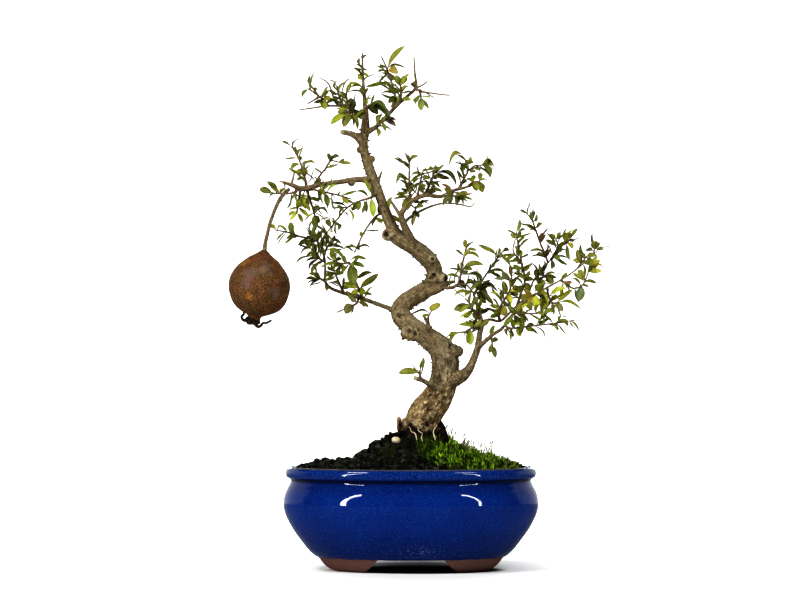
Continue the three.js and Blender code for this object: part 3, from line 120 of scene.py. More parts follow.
def roundRings(radius, height, angle):
    # rings round the z axis: radius * cosine, radius * sine, height
    radius, height = np.asarray(radius, float)[:, None], np.asarray(height, float)[:, None]
    return joined(radius * np.cos(angle), radius * np.sin(angle), height)


def blankMarks(places):
    # zero, zero, zero, one for each place
    return np.zeros(places.shape[:-1] + (4,)) + [0, 0, 0, 1]


def tubes(rings, starts, ends, grain=None, tone=(0, 0, 0, 1), finish=0):
    # closed tubes from rings (count, rows, sides, 3) and the points that close their two ends
    count, rows, sides, _ = rings.shape
    tone = np.broadcast_to(np.asarray(tone, float), rings.shape[:3] + (4,))
    grain = rings if grain is None else grain

    def closed(values, first, last):
        flat = values.reshape(count, rows * sides, -1)
        return np.concatenate([flat, first[:, None], last[:, None]], axis=1).reshape(-1, flat.shape[-1])

    quads, tris = tubeFaces(rows, sides, count)
    return {
        "points": closed(rings, starts, ends),
        "grain": closed(grain, grain[:, 0].mean(axis=1), grain[:, -1].mean(axis=1)),
        "tone": closed(tone, tone[:, 0].mean(axis=1), tone[:, -1].mean(axis=1)),
        "quads": quads, "tris": tris, "finish": finish,
    }


def ringTorus(rings, tone=(0, 0, 0, 1)):
    # a closed skin whose last row joins its first, for a wall or a slab with a hole
    ring = np.arange(rings[..., 0].size).reshape(rings.shape[:2])
    after, nextRow = np.roll(ring, -1, axis=1), np.roll(ring, -1, axis=0)
    quads = joined(ring, after, np.roll(after, -1, axis=0), nextRow).reshape(-1, 4)
    tone = np.broadcast_to(np.asarray(tone, float), rings.shape[:2] + (4,)).reshape(-1, 4)
    points = rings.reshape(-1, 3)
    return {"points": points, "grain": points, "tone": tone, "quads": quads,
            "tris": np.zeros((0, 3), int), "finish": 0}


def makePiece(name, parts, finishes, sharpAngle=60):
    # joins the parts in one mesh, in metres, for the frame's node of the same name
    starts = np.cumsum([0] + [len(part["points"]) for part in parts])
    points = np.concatenate([part["points"] for part in parts]) * 0.001 + potMiddle
    quads = np.concatenate([part["quads"] + first for part, first in zip(parts, starts)])
    tris = np.concatenate([part["tris"] + first for part, first in zip(parts, starts)])
    finish = np.concatenate([np.full(len(part[kind]), part["finish"])
                             for kind in ("quads", "tris") for part in parts])
    mesh = bpy.data.meshes.new(name)
    mesh.from_pydata(points.tolist(), [], quads.tolist() + tris.tolist())
    mesh.polygons.foreach_set("material_index", finish.astype(np.int32))
    mesh.polygons.foreach_set("use_smooth", np.ones(len(finish), bool))
    for key, kind, field in (("grain", "FLOAT_VECTOR", "vector"), ("tone", "FLOAT_COLOR", "color")):
        values = np.concatenate([part[key] for part in parts]).astype(np.float32)
        mesh.attributes.new(key, kind, "POINT").data.foreach_set(field, values.ravel())
    mesh.set_sharp_from_angle(angle=math.radians(sharpAngle))
    for material in finishes:
        mesh.materials.append(material)
    piece = addObject(name, mesh)
    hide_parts(name)
    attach(piece, "root")
    print(name, len(quads) * 2 + len(tris), "triangles")


def curveThrough(points, rows):
    # centripetal Catmull-Rom: cubics through all points, with slopes weighed by the roots of the spans
    points = np.asarray(points, float)
    ends = np.vstack([2 * points[0] - points[1], points, 2 * points[-1] - points[-2]])
    spacing = np.sqrt(sizeOf(np.diff(ends[:, :3], axis=0)))[:, None]
    along = np.linspace(0, len(points) - 1, rows)
    span = np.minimum(along.astype(int), len(points) - 2)
    t = (along - span)[:, None]
    before, start, end, later = (ends[span + k] for k in range(4))
    gapBefore, gapHere, gapLater = (spacing[span + k] for k in range(3))
    middle = (end - start) / gapHere
    slopeIn = ((start - before) / gapBefore - (end - before) / (gapBefore + gapHere) + middle) * gapHere
    slopeOut = (middle - (later - start) / (gapHere + gapLater) + (later - end) / gapLater) * gapHere
    square = 3 * (end - start) - 2 * slopeIn - slopeOut
    cube = 2 * (start - end) + slopeIn + slopeOut
    return start + slopeIn * t + square * t ** 2 + cube * t ** 3


def sweep(points, sides, rows, relief=None, tint=None, flare=0, finish=0, flatten=(1, 1)):
    # a tube along the curve: centre + radius * (cos a * sideways + sin a * upwards), then pushed out by
    # the relief; its grain is the bark laid out straight: (radius cos a, radius sin a, length along)
    curve = curveThrough(points, rows)
    centre, radius = curve[:, :3], np.maximum(curve[:, 3], 0.14)
    tangent = unit(np.gradient(centre, axis=0))
    length = np.concatenate([[0], np.cumsum(sizeOf(np.diff(centre, axis=0)))])
    radius = radius * (1 + flare * np.exp(-length / (2.2 * radius[0])))
    tip = np.array([0.5, 0.85, 0.98])  # a rounded end: sines of its rings
    centre = np.vstack([centre, centre[-1] + tip[:, None] * radius[-1] * tangent[-1]])
    length = np.concatenate([length, length[-1] + tip * radius[-1]])
    radius = np.concatenate([radius, radius[-1] * np.sqrt(1 - tip ** 2)])
    tangent = np.vstack([tangent, np.repeat(tangent[-1:], 3, axis=0)])
    axis = np.eye(3)[np.argmin(np.abs(tangent).max(axis=0))]
    sideways = unit(np.cross(axis, tangent))
    upwards = np.cross(tangent, sideways)
    grain = roundRings(radius, length, around(sides))
    cos, sin = np.cos(around(sides))[None, :, None], np.sin(around(sides))[None, :, None]
    direction = cos * sideways[:, None] * flatten[0] + sin * upwards[:, None] * flatten[1]
    wide = radius[:, None]
    place = centre[:, None] + wide[..., None] * direction
    if relief:
        place = place + relief(grain, place, direction, wide)[..., None] * direction
    tone = tint(grain, place, direction, wide) if tint else (0, 0, 0, 1)
    return tubes(place[None], centre[None, 0], (centre[-1] + 0.02 * tangent[-1] * radius[-1])[None],
                 grain[None], tone, finish)


bench = {}  # the material or node group being made: its tree, its shader and itself


def plug(value, socket):
    # a link from another node's output, or a plain value
    if isinstance(value, bpy.types.NodeSocket):
        bench["tree"].links.new(value, socket)
    else:
        socket.default_value = (*value, 1) if socket.type == "RGBA" else value


def node(kind, inputs, **settings):
    made = bench["tree"].nodes.new(kind)
    for key, value in settings.items():
        setattr(made, key, value)
    for key, value in inputs.items():
        plug(value, made.inputs[key])
    return made.outputs


def calc(operation, first, second=0.0):
    return node("ShaderNodeMath", {0: first, 1: second}, operation=operation)[0]


def times(first, second):
    return calc("MULTIPLY", first, second)


def plus(first, second):
    return calc("ADD", first, second)


def minus(first, second):
    return calc("SUBTRACT", first, second)


def blend(factor, first, second, mode="MIX"):
    return node("ShaderNodeMix", {0: factor, 6: first, 7: second}, data_type="RGBA", blend_type=mode)[2]


def painted(body, *coats):
    # coats of colour laid over one another, each as a mask and a colour
    for mask, colour in coats:
        body = blend(mask, body, colour)
    return body


def stretch(value, low, high, newLow=0.0, newHigh=1.0):
    # a smooth step from low to high
    return node("ShaderNodeMapRange", {0: value, 1: low, 2: high, 3: newLow, 4: newHigh},
                interpolation_type="SMOOTHSTEP")[0]


def vectorCalc(operation, first, second=(0, 0, 0)):
    return node("ShaderNodeVectorMath", {0: first, 1: second}, operation=operation)


def scaled(vector, size):
    return vectorCalc("MULTIPLY", vector, size)[0]


def grit(vector, scale, detail=4.0, rough=0.55, twist=0.0):
    return node("ShaderNodeTexNoise", {"Vector": vector, "Scale": scale, "Detail": detail,
                                       "Roughness": rough, "Distortion": twist})["Fac"]


def cells(vector, scale):
    return node("ShaderNodeTexVoronoi", {"Vector": vector, "Scale": scale})["Distance"]


def bumped(height, distance, strength=1.0, **normal):
    return node("ShaderNodeBump", {"Height": height, "Distance": distance, "Strength": strength, **normal})[0]


def newFinish(name, specular=0.5):
    # a new material; gives the place in millimetres and the mesh's two attributes
    material = bpy.data.materials.new(name)
    material.use_nodes = True
    shader = material.node_tree.nodes["Principled BSDF"].inputs
    shader["Specular IOR Level"].default_value = specular
    bench.update(material=material, tree=material.node_tree, shader=shader)
    place = scaled(node("ShaderNodeTexCoord", {})["Object"], (1000, 1000, 1000))
    grain = node("ShaderNodeAttribute", {}, attribute_name="grain")["Vector"]
    tone = node("ShaderNodeAttribute", {}, attribute_name="tone")["Color"]
    return place, grain, tone


def finished(colour, rough, normal):
    for key, value in (("Base Color", colour), ("Roughness", rough), ("Normal", normal)):
        plug(value, bench["shader"][key])
    return bench["material"]


def speckled(body, speckle, roughest, smoothest, depth, strength):
    # a finish whose specks stand up a little and are smoother than the hollows
    return finished(body, stretch(speckle, 0.3, 0.7, roughest, smoothest), bumped(speckle, depth, strength))


def makeWearGroup():
    # blotches: a mask of patches with ragged edges, and fine speckle, both from one place
    tree = bpy.data.node_groups.new("patches and speckle", "ShaderNodeTree")
    bench["tree"] = tree
    for name, way, kind in (("Place", "INPUT", "Vector"), ("Patch size", "INPUT", "Float"),
                            ("Patch cover", "INPUT", "Float"), ("Speckle size", "INPUT", "Float"),
                            ("Patch", "OUTPUT", "Float"), ("Speckle", "OUTPUT", "Float")):
        tree.interface.new_socket(name, in_out=way, socket_type="NodeSocket" + kind)
    given = tree.nodes.new("NodeGroupInput").outputs
    result = tree.nodes.new("NodeGroupOutput").inputs
    patches = grit(given["Place"], calc("DIVIDE", 1, given["Patch size"]), 6, 0.62, 0.4)
    level = minus(1, given["Patch cover"])
    plug(stretch(patches, minus(level, 0.07), plus(level, 0.07)), result["Patch"])
    plug(grit(given["Place"], calc("DIVIDE", 1, given["Speckle size"]), 2, 0.7), result["Speckle"])
    return tree


wearGroup = makeWearGroup()


def wear(place, patchSize, cover, speckleSize):
    made = node("ShaderNodeGroup", {"Place": place, "Patch size": patchSize, "Patch cover": cover,
                                    "Speckle size": speckleSize}, node_tree=wearGroup)
    return made["Patch"], made["Speckle"]


def channels(colour):
    return node("ShaderNodeSeparateColor", {0: colour})


def xyz(vector):
    return node("ShaderNodeSeparateXYZ", {0: vector})


glazeLook = {
    "deep": (0.001, 0.005, 0.040), "body": (0.001, 0.010, 0.088), "bright": (0.003, 0.032, 0.19),
    "speck": (0.03, 0.12, 0.38), "fleck": (0.02, 0.075, 0.26), "paintedGrooveShade": (0.001, 0.003, 0.018),
    "pinhole": (0.01, 0.008, 0.008), "scuff": (0.20, 0.24, 0.30), "edge": (0.10, 0.09, 0.08),
    "darkEdge": (0.05, 0.042, 0.04), "paintedEdgeTone": (0.10, 0.17, 0.21),
    "clay": (0.105, 0.060, 0.050), "paleClay": (0.16, 0.085, 0.068), "foot": 11.6,
}


def makeGlaze():
    # tone: red = the bare edge of the rim, green = painted shade in the groove, blue = where it is scuffed
    place, _, tone = newFinish("cobalt glaze", 0)
    look, marks, height = glazeLook, channels(tone), xyz(place)[2]
    _, speckle = wear(place, 22, 0.5, 0.8)
    cloud = stretch(grit(place, 0.03, 2, 0.5), 0.3, 0.7, 0.35, 0.6)
    grains = grit(place, 1.3, 3, 0.75)
    rim = stretch(height, 73.5, 76)
    pinhole = times(stretch(cells(place, 0.11), 0.085, 0.04), stretch(grit(place, 0.05, 3, 0.6), 0.5, 0.62))
    scratches = grit(scaled(place, (0.5, 0.5, 1.6)), 0.9, 3, 0.65, 0.6)
    scuff = times(stretch(scratches, 0.58, 0.68), marks[2])
    facing = node("ShaderNodeLayerWeight", {0: 0.5})["Facing"]
    body = painted(
        blend(cloud, look["body"], look["bright"]),
        (stretch(height, 14, 40, 0.62, 0), look["deep"]),  # darker towards the bottom
        # painted shade in the neck under the overhanging rim
        (times(stretch(height, 58, 68, 0, 0.5), stretch(height, 74.5, 73.5)), look["deep"]),
        (stretch(grains, 0.5, 0.36, 0, 0.75), look["body"]),
        (stretch(grains, 0.5, 0.62, 0, 0.7), look["bright"]),
        (stretch(speckle, 0.58, 0.72, 0, 0.6), look["speck"]),
        (times(stretch(grains, 0.5, 0.6, 0, 0.55), rim), look["fleck"]),
        (times(rim, stretch(grains, 0.52, 0.4, 0, 0.8)), look["deep"]),
        # painted shade in the groove under the rim
        (marks[1], look["paintedGrooveShade"]),
        (pinhole, look["pinhole"]),
        (scuff, look["scuff"]),
        (marks[0], blend(stretch(speckle, 0.35, 0.65), look["edge"], look["darkEdge"])),
        (stretch(facing, 0.72, 1, 0, 0.55), look["paintedEdgeTone"]))  # paler towards the outline: a painted reflection
    clayGrain = grit(place, 1.6, 6, 0.7)
    clay = blend(stretch(clayGrain, 0.3, 0.7), look["clay"], look["paleClay"])
    ragged = plus(height, times(grit(place, 0.12, 3), 2.4))
    glazed = stretch(ragged, look["foot"], look["foot"] + 0.5)
    glassy = times(minus(1, marks[0]), glazed)
    smear = stretch(grit(place, 0.06, 4, 0.6), 0.35, 0.75, 0, 0.12)
    rough = plus(stretch(glassy, 0, 1, 0.72, 0.13), plus(smear, times(scuff, 0.3)))
    for key, value in (("Coat Weight", glassy), ("Coat Roughness", 0.04), ("Coat IOR", 1.32)):
        plug(value, bench["shader"][key])
    ripple = bumped(grit(place, 0.16, 3, 0.5), 0.0006, 0.35)
    return finished(blend(glazed, clay, body), rough,
                    bumped(times(clayGrain, minus(1, glazed)), 0.0006, 0.8, Normal=ripple))


barkLook = {"grey": (0.215, 0.175, 0.105), "tan": (0.33, 0.21, 0.08), "brown": (0.075, 0.042, 0.018),
            "rust": (0.17, 0.080, 0.024), "pit": (0.012, 0.008, 0.005), "pale": (0.50, 0.42, 0.27),
            "shade": (0.070, 0.058, 0.033), "young": (0.82, 0.78, 0.70),
            "moss": (0.15, 0.135, 0.070), "flake": (0.78, 0.58, 0.30)}


def makeBark(name, look, patchSize, scale):
    # tone: red = dark scars and painted shade, green = warmth, blue = pale scars and painted light; grain is
    # the bark laid out straight
    place, grain, tone = newFinish(name, 0.12)
    marks = channels(tone)
    long = scaled(grain, (1, 1, 0.32))
    patch, speckle = wear(long, patchSize, 0.5, 0.8)
    flake = grit(scaled(grain, (1, 1, 0.7)), scale, 6, 0.72, 0.3)
    streak = grit(scaled(grain, (1, 1, 0.16)), scale * 1.6, 4, 0.65)
    crack = calc("ABSOLUTE", minus(grit(long, scale * 0.8, 4, 0.7, 1.2), 0.5))
    rusty = stretch(grit(long, scale * 0.35, 4, 0.6, 0.8), 0.53, 0.66)
    pit = times(stretch(cells(grain, scale * 0.9), 0.24, 0.1), patch)
    rough = stretch(marks[1], 0.1, 0.8, 0.55, 1)  # the old bark low on the trunk flakes the most
    calm = stretch(xyz(place)[2], 148, 225, 1, 0.35)  # smoother and browner high up
    sound = painted(
        blend(marks[1], look["grey"], look["tan"]),
        (stretch(grit(grain, scale * 0.3, 3, 0.55), 0.4, 0.62, 0, 0.55), look["moss"]),
        (times(stretch(streak, 0.5, 0.62, 0, 0.85), calm), look["shade"]),
        (times(stretch(streak, 0.47, 0.36, 0, 0.6), calm), look["pale"]))
    body = painted(
        sound,
        (stretch(calm, 1, 0.35), blend(1, sound, look["young"], "MULTIPLY")),
        (stretch(crack, 0.02, 0.004, 0, 0.6), look["brown"]),
        (times(patch, times(rough, 0.6)), look["brown"]),
        (times(rusty, times(rough, 0.6)), look["rust"]),
        (times(stretch(flake, 0.5, 0.64), times(rough, 0.75)), look["pale"]),
        (times(stretch(flake, 0.56, 0.66), stretch(marks[1], 0.3, 0.9, 0, 0.8)), look["flake"]),
        (times(stretch(flake, 0.47, 0.38), times(times(rough, 0.85), times(calm, calm))), look["pit"]),
        (times(pit, times(calm, 0.7)), look["pit"]),
        (stretch(speckle, 0.56, 0.75, 0, 0.55), look["brown"]),
        # blue and red marks: pale and dark scars, with painted light on top and painted shade underneath and
        # in hollows
        (marks[2], look["pale"]),
        (marks[0], look["pit"]))
    relief = minus(plus(flake, times(speckle, 0.3)), times(pit, 0.3))
    return finished(body, stretch(flake, 0.3, 0.7, 0.92, 0.72), bumped(relief, 0.0016))


leafLook = {"shade": (0.5, 0.55, 0.45), "vein": (0.50, 0.48, 0.10), "under": (0.24, 0.25, 0.09),
            "worn": (0.22, 0.11, 0.035), "stem": (0.24, 0.09, 0.04)}


def makeLeaf():
    # tone is the leaf's own colour; grain is how far across it, how far along it, and which face
    place, grain, tone = newFinish("pomegranate leaf", 0.35)
    look, plan = leafLook, xyz(grain)
    across = calc("ABSOLUTE", plan[0])
    rib = stretch(across, 0.13, 0.03)
    slant = minus(times(plan[1], 34), times(across, 9))
    vein = times(stretch(calc("SINE", slant), 0.72, 1), stretch(across, 1, 0.2))
    blotch, speckle = wear(place, 4, 0.45, 0.5)
    dark, light = blend(1, tone, look["shade"], "MULTIPLY"), blend(0.3, tone, look["vein"])
    body = painted(tone, (times(blotch, 0.55), dark), (stretch(across, 0.6, 1, 0, 0.8), dark),
                   (times(vein, 0.35), light), (times(rib, 0.6), light))
    body = painted(
        body,
        (stretch(plan[2], 0.35, 0.65), blend(0.3, body, look["under"])),
        (times(stretch(plus(across, times(speckle, 0.5)), 1.12, 1.3), 0.7), look["worn"]),
        (times(stretch(plan[1], 0.16, 0.04), 0.7), look["stem"]))
    height = plus(times(vein, -0.5), times(rib, -0.8))
    return finished(body, stretch(speckle, 0.3, 0.7, 0.32, 0.5), bumped(height, 0.0003, 0.5))


twigLook = {"old": [(0.075, 0.042, 0.024), (0.17, 0.115, 0.065)],
            "fresh": [(0.11, 0.055, 0.02), (0.10, 0.095, 0.025)],
            "speck": (0.06, 0.03, 0.02), "scar": (0.03, 0.018, 0.012)}


def makeTwig():
    # tone: red = scars, green = from woody brown to fresh
    _, grain, tone = newFinish("young twig", 0.35)
    look, marks = twigLook, channels(tone)
    patch, speckle = wear(scaled(grain, (1, 1, 0.4)), 2.5, 0.5, 0.4)
    body = painted(blend(patch, *look["old"]), (marks[1], blend(patch, *look["fresh"])),
                   (stretch(speckle, 0.6, 0.75, 0, 0.5), look["speck"]), (marks[0], look["scar"]))
    return speckled(body, speckle, 0.75, 0.5, 0.0003, 0.7)


# two colours in patches, colour of the specks, sizes of both, shine, roughness in hollows and on specks,
# depth and strength of the relief
earthLooks = {
    "potting soil": [(0.0025, 0.0028, 0.0025), (0.010, 0.0095, 0.0072), (0.040, 0.034, 0.022),
                     6, 0.7, 0.05, 0.98, 0.8, 0.0012, 1],
    "pale root": [(0.62, 0.54, 0.40), (0.36, 0.27, 0.17), (0.36, 0.27, 0.17),
                  3, 0.75, 0.35, 0.75, 0.6, 0.0005, 0.6],
    # the dark root's colour is the dead wood's own dark, darkened further as painted shade
    "dark root in painted shade": [(0.012, 0.009, 0.007), (0.004, 0.003, 0.003), (0.004, 0.003, 0.003),
                  2.5, 0.625, 0.05, 0.9, 0.75, 0.0005, 0.6],
    "pale stone": [(0.60, 0.53, 0.36), (0.40, 0.33, 0.19), (0.40, 0.33, 0.19),
                   2.5, 0.625, 0.35, 0.6, 0.45, 0.0005, 0.6],
    "drain screen plastic": [(0.012, 0.012, 0.012), (0.03, 0.028, 0.025), (0.03, 0.028, 0.025),
                             5, 0.5, 0.5, 0.6, 0.45, 0.0002, 0.5],
}
greenFilm, paleGrain = (0.030, 0.034, 0.008), (0.078, 0.080, 0.060)


def makeEarth(name, light, dark, speck, patchSize, speckSize, specular, *surface):
    # tone: green = a film of young moss, blue = pale grains
    place, _, tone = newFinish(name, specular)
    marks = channels(tone)
    patch, speckle = wear(place, patchSize, 0.5, speckSize)
    body = painted(blend(patch, light, dark), (stretch(speckle, 0.55, 0.75, 0, 0.5), speck),
                   (marks[1], greenFilm), (marks[2], paleGrain))
    return speckled(body, speckle, *surface)


mossLook = {"shade": (0.5, 0.55, 0.4), "speck": (0.35, 0.42, 0.06)}


def makeMoss():
    # tone is the blade's own colour
    place, _, tone = newFinish("moss", 0.12)
    patch, speckle = wear(place, 5, 0.5, 0.5)
    body = painted(tone, (times(patch, 0.6), blend(1, tone, mossLook["shade"], "MULTIPLY")),
                   (stretch(speckle, 0.55, 0.75, 0, 0.35), mossLook["speck"]))
    return speckled(body, speckle, 0.8, 0.55, 0.0006, 0.8)


rindLook = {
    "brown": (0.090, 0.040, 0.013), "tan": (0.142, 0.070, 0.019), "olive": (0.085, 0.056, 0.014),
    "red": (0.19, 0.062, 0.030), "rust": (0.15, 0.044, 0.016), "scar": (0.36, 0.15, 0.028),
    "gold": (0.28, 0.145, 0.038), "dot": (0.024, 0.011, 0.006), "paintedSheen": (0.125, 0.092, 0.078),
    "freckle": (0.40, 0.24, 0.09), "paintedEdgeTone": (0.018, 0.010, 0.006), "dry": (0.012, 0.008, 0.006),
}


def makeRind():
    # tone: red = dried dark parts, green = grey patches of painted sheen, blue = orange scars
    place, _, tone = newFinish("fruit rind", 0.2)
    look, marks = rindLook, channels(tone)
    patch, speckle = wear(place, 9, 0.5, 1.3)
    second, fine = wear(scaled(place, (1, 1, 0.8)), 4.2, 0.42, 0.7)
    facing = node("ShaderNodeLayerWeight", {0: 0.3})["Facing"]
    body = painted(
        blend(patch, look["brown"], look["tan"]),
        (stretch(grit(place, 0.06, 3, 0.6, 0.5), 0.42, 0.62, 0, 0.7), look["olive"]),
        (times(stretch(grit(place, 0.085, 3, 0.6, 0.9), 0.5, 0.62, 0, 0.85), 0.85), look["red"]),
        (times(second, 0.5), look["rust"]),
        (times(marks[2], 0.85), look["scar"]),
        (stretch(speckle, 0.54, 0.6, 0, 0.65), look["gold"]),
        (stretch(fine, 0.48, 0.55, 0, 0.85), look["dot"]),
        # grey patches of painted sheen
        (times(marks[1], 0.5), look["paintedSheen"]),
        (times(stretch(cells(place, 0.75), 0.2, 0.1), 0.5), look["freckle"]),
        # darker towards the outline: painted shade
        (stretch(facing, 0.55, 0.9, 0, 0.7), look["paintedEdgeTone"]),
        (marks[0], look["dry"]))
    relief = bumped(plus(speckle, times(fine, 0.5)), 0.0009, 0.7)
    return finished(body, stretch(speckle, 0.3, 0.7, 0.75, 0.58), relief)


glaze = makeGlaze()
bark = makeBark("trunk bark", barkLook, 9, 0.42)
branchLook = dict(barkLook, grey=(0.25, 0.20, 0.125), tan=(0.26, 0.19, 0.10), young=(0.9, 0.86, 0.8))
branchBark = makeBark("branch bark", branchLook, 4, 0.9)
leafSkin, twigBark, mossFinish, rind = makeLeaf(), makeTwig(), makeMoss(), makeRind()
earth = {name: makeEarth(name, *look) for name, look in earthLooks.items()}
print("finishes made")


pot = {
    "depth": 0.765, "power": 0.92, "sides": 330, "rows": 92,
    "outside": [[66, 10.6], [74.4, 10.7], [80.2, 14.5], [87.7, 23.6], [94.6, 33.4], [99, 41.6], [100.9, 46.6],
                [101.8, 51], [101.9, 55], [101.3, 58.8], [100.2, 62.2], [98.6, 65.8], [96.8, 69.2],
                [95.9, 72], [97, 73.2], [99.3, 74.6], [100.3, 77.2], [99.7, 79.8], [98.2, 81.7],
                [96.8, 82.5]],
    "rim": [[95.2, 82.65], [94.5, 82.55], [93.8, 82]],
    "inside": [[93, 78], [92.6, 70], [93.6, 54], [88.5, 36], [74, 21.5], [62, 17.4], [57, 17]],
    "under": [[57, 10.6], [62, 10.6]],
    "foot": [[38, 11.4], [42, 6], [45.2, 1.2], [46.6, 0.06], [60, 0.06], [63.2, 0.3], [66, 1.2], [69.4, 3.6],
             [71.8, 6.6], [73.6, 9.6], [75.4, 11.4]],
    "footHeight": 10.6, "frontArch": (26, 39), "sideArch": (9, 19),
    "holeSpacing": 30, "holeRadius": 7.5, "slab": (60.5, 45.5), "floor": 17,
}


def ovalRings(profile, sides):
    # each profile point (radius, height) becomes an oval ring: x and y are powers of cosine and sine
    cos, sin = np.cos(around(sides)), np.sin(around(sides))
    x = np.sign(cos) * np.abs(cos) ** pot["power"]
    y = pot["depth"] * np.sign(sin) * np.abs(sin) ** pot["power"]
    radius, height = np.asarray(profile, float).T[..., None]
    return joined(radius * x, radius * y, height)


def smoothProfile(points, rows):
    # the curve through the profile's points, with rows spread evenly along it
    flat = curveThrough([[radius, 0, height, 0] for radius, height in points], rows * 8)[:, [0, 2]]
    length = np.concatenate([[0], np.cumsum(sizeOf(np.diff(flat, axis=0)))])
    even = np.linspace(0, length[-1], rows)
    return joined(np.interp(even, length, flat[:, 0]), np.interp(even, length, flat[:, 1]))


def archUnderside(across, halfWidths):
    # height of the arch between two feet: open in the middle, then down along a quadratic curve
    top, bottom = halfWidths
    t = np.linspace(0, 1, 40)
    width = (1 - t) ** 2 * bottom + 2 * t * (1 - t) * (top + 7) + t ** 2 * top
    height = (1 - t) ** 2 * -1 + 2 * t * (1 - t) * 2 + t ** 2 * (pot["footHeight"] + 0.5)
    return np.interp(np.abs(across), width[::-1], height[::-1], left=pot["footHeight"] + 0.5, right=-1)


def potSkin():
    outside = smoothProfile(pot["outside"], pot["rows"])
    profile = np.vstack([outside, smoothProfile(pot["rim"], 7),
                         smoothProfile(pot["inside"], 44), pot["under"]])
    rings = ovalRings(profile, pot["sides"])
    thrown = 0.22 * softNoise(rings * 0.02, 3) + 0.05 * softNoise(rings * 0.11, 4)  # not quite even
    outward = unit(rings * [1, 1 / pot["depth"], 0])
    rings = rings + thrown[..., None] * outward * smoothStep(rings[..., 2], 12, 30)[..., None]
    height = profile[:, 1]
    row = np.arange(len(profile))
    edge = (smoothStep(height, 81.3, 82.3) * (row > 40))[:, None]
    onOutside = row < len(outside)
    front = np.exp(-((around(pot["sides"]) - 1.53 * np.pi) / 0.24) ** 2)  # scuffs low on the front
    low = np.exp(-((height - 16.5) / 5) ** 2) * onOutside
    tone = blankMarks(rings)
    tone[..., 0] = np.clip(edge + softNoise(rings * 0.3, 6) * 0.3 * (edge > 0.02), 0, 1)
    # green: painted shade in the groove under the rim
    tone[..., 1] = (np.exp(-((height - 72.4) / 1.5) ** 2) * onOutside)[:, None]
    tone[..., 2] = np.clip(0.75 * low[:, None] * front + 0.05 * onOutside[:, None], 0, 1)
    return ringTorus(rings[::-1], tone[::-1])


def feetSkin():
    rings = ovalRings(np.vstack([smoothProfile(pot["foot"], 40), [[60, 12.6], [45, 12.6]]]), 400)
    arch = np.maximum(archUnderside(rings[..., 0], pot["frontArch"]),
                      archUnderside(rings[..., 1], pot["sideArch"]))
    rings[..., 2] = np.maximum(rings[..., 2], arch)
    rings[..., 2] += 0.12 * softNoise(rings * 0.25, 8) * (rings[..., 2] < 9) * (rings[..., 2] > 0.5)
    rings[..., 2] = np.maximum(rings[..., 2], 0.0)
    return ringTorus(rings)


def floorHalf(side):
    # half of the pot's floor: a skin spread from the drainage hole's edge to the half oval's edge
    hole, angle = pot["holeRadius"], around(96)
    cos, sin = np.cos(angle), np.sin(angle)
    wide, deep = pot["slab"]
    centre = -pot["holeSpacing"]
    square = (cos / wide) ** 2 + (sin / deep) ** 2
    middle = centre * cos / wide ** 2
    reach = (-middle + np.sqrt(middle ** 2 - square * ((centre / wide) ** 2 - 1))) / square
    seam = np.where(cos > 1e-3, (0.5 - centre) / np.maximum(cos, 1e-3), np.inf)
    reach = np.minimum(reach, seam)
    low, high = pot["footHeight"] + 0.15, pot["floor"] - 0.1
    # share of the way out, what is added to it, height
    rows = [(0, 0.6, low), (0.5, 0, low), (1, 0, low), (1, 0, high), (0.5, 0, high), (0, 0.6, high),
            (0, 0, high - 0.6), (0, 0, low + 0.6)]
    share, extra, height = np.array(rows).T[..., None]
    radius = hole + extra + share * (reach - hole)
    rings = joined(side * -(centre + radius * cos), radius * sin, height)
    return ringTorus(rings if side > 0 else rings[::-1])


makePiece("pot", [potSkin(), feetSkin(), floorHalf(-1), floorHalf(1)], [glaze], 42)
for name in ("drain_screen_left", "drain_screen_right"):
    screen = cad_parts[name]
    screen.data.materials.clear()
    screen.data.materials.append(earth["drain screen plastic"])


ground = {
    "rim": 79, "level": 84, "mound": 24.5, "centre": 5, "sides": 240, "rings": 90,
    "side": [[59.6, 17.5], [73.4, 22], [87.8, 36.3], [93, 54.1], [92.1, 70], [92.1, 78]],
    "crumbs": 5200, "crumbSize": (0.4, 2.2),
    # gap is the near-black colour of painted shade between the blades
    "cushion": {"centre": (46, -8), "half": (41, 50), "thick": 3.4, "lumps": 5, "blades": 6500, "sway": 0.27,
                "length": (3.8, 7), "wide": (0.34, 0.66), "stalks": 26,
                "gap": (0.003, 0.007, 0.001), "fresh": (0.47, 0.80, 0.055), "dry": (0.42, 0.40, 0.09)},
    "lowPatch": {"centre": (-14, -33), "half": (20, 14), "thick": 1, "lumps": 4, "blades": 1500, "sway": 0.5,
                 "length": (0.8, 2.6), "wide": (0.2, 0.45), "stalks": 0,
                 "gap": (0.004, 0.004, 0.0025), "fresh": (0.105, 0.12, 0.018), "dry": (0.08, 0.07, 0.025)},
    # threads of dark moss and root that lie on the open soil
    "threads": {"centre": (-30, 0), "half": (62, 68), "thick": 0, "blades": 3400, "sway": 2.2,
                "length": (1.6, 4.6), "wide": (0.12, 0.26),
                "gap": (0.004, 0.0045, 0.0035), "fresh": (0.12, 0.135, 0.06), "dry": (0.16, 0.12, 0.06)},
}


def soilHeight(x, y):
    # a level that drops towards the wall, plus a mound: a bell, flat-topped on its left side
    left = np.exp(-(((x - ground["centre"]) / 40) ** 4))
    right = np.exp(-(((x - ground["centre"]) / 40) ** 2))
    mound = ground["mound"] * np.where(x < ground["centre"], left, right) * np.exp(-((y / 34) ** 2))
    rim = np.minimum(1, np.hypot(x, y / pot["depth"]) / 92)
    return ground["rim"] + (ground["level"] - ground["rim"]) * (1 - rim ** 6) + mound


def crumbly(x, y):
    # broken soil: coarse lumps, smaller clods, and grains that stand up more than they sink
    flat = joined(x, y, 0)
    clods = np.abs(softNoise(flat * 0.16, 21)) * 2.0 + np.abs(softNoise(flat * 0.42, 22)) * 2.2
    return clods + 0.7 * layeredNoise(flat * 0.9, 2, 23) - 1.4


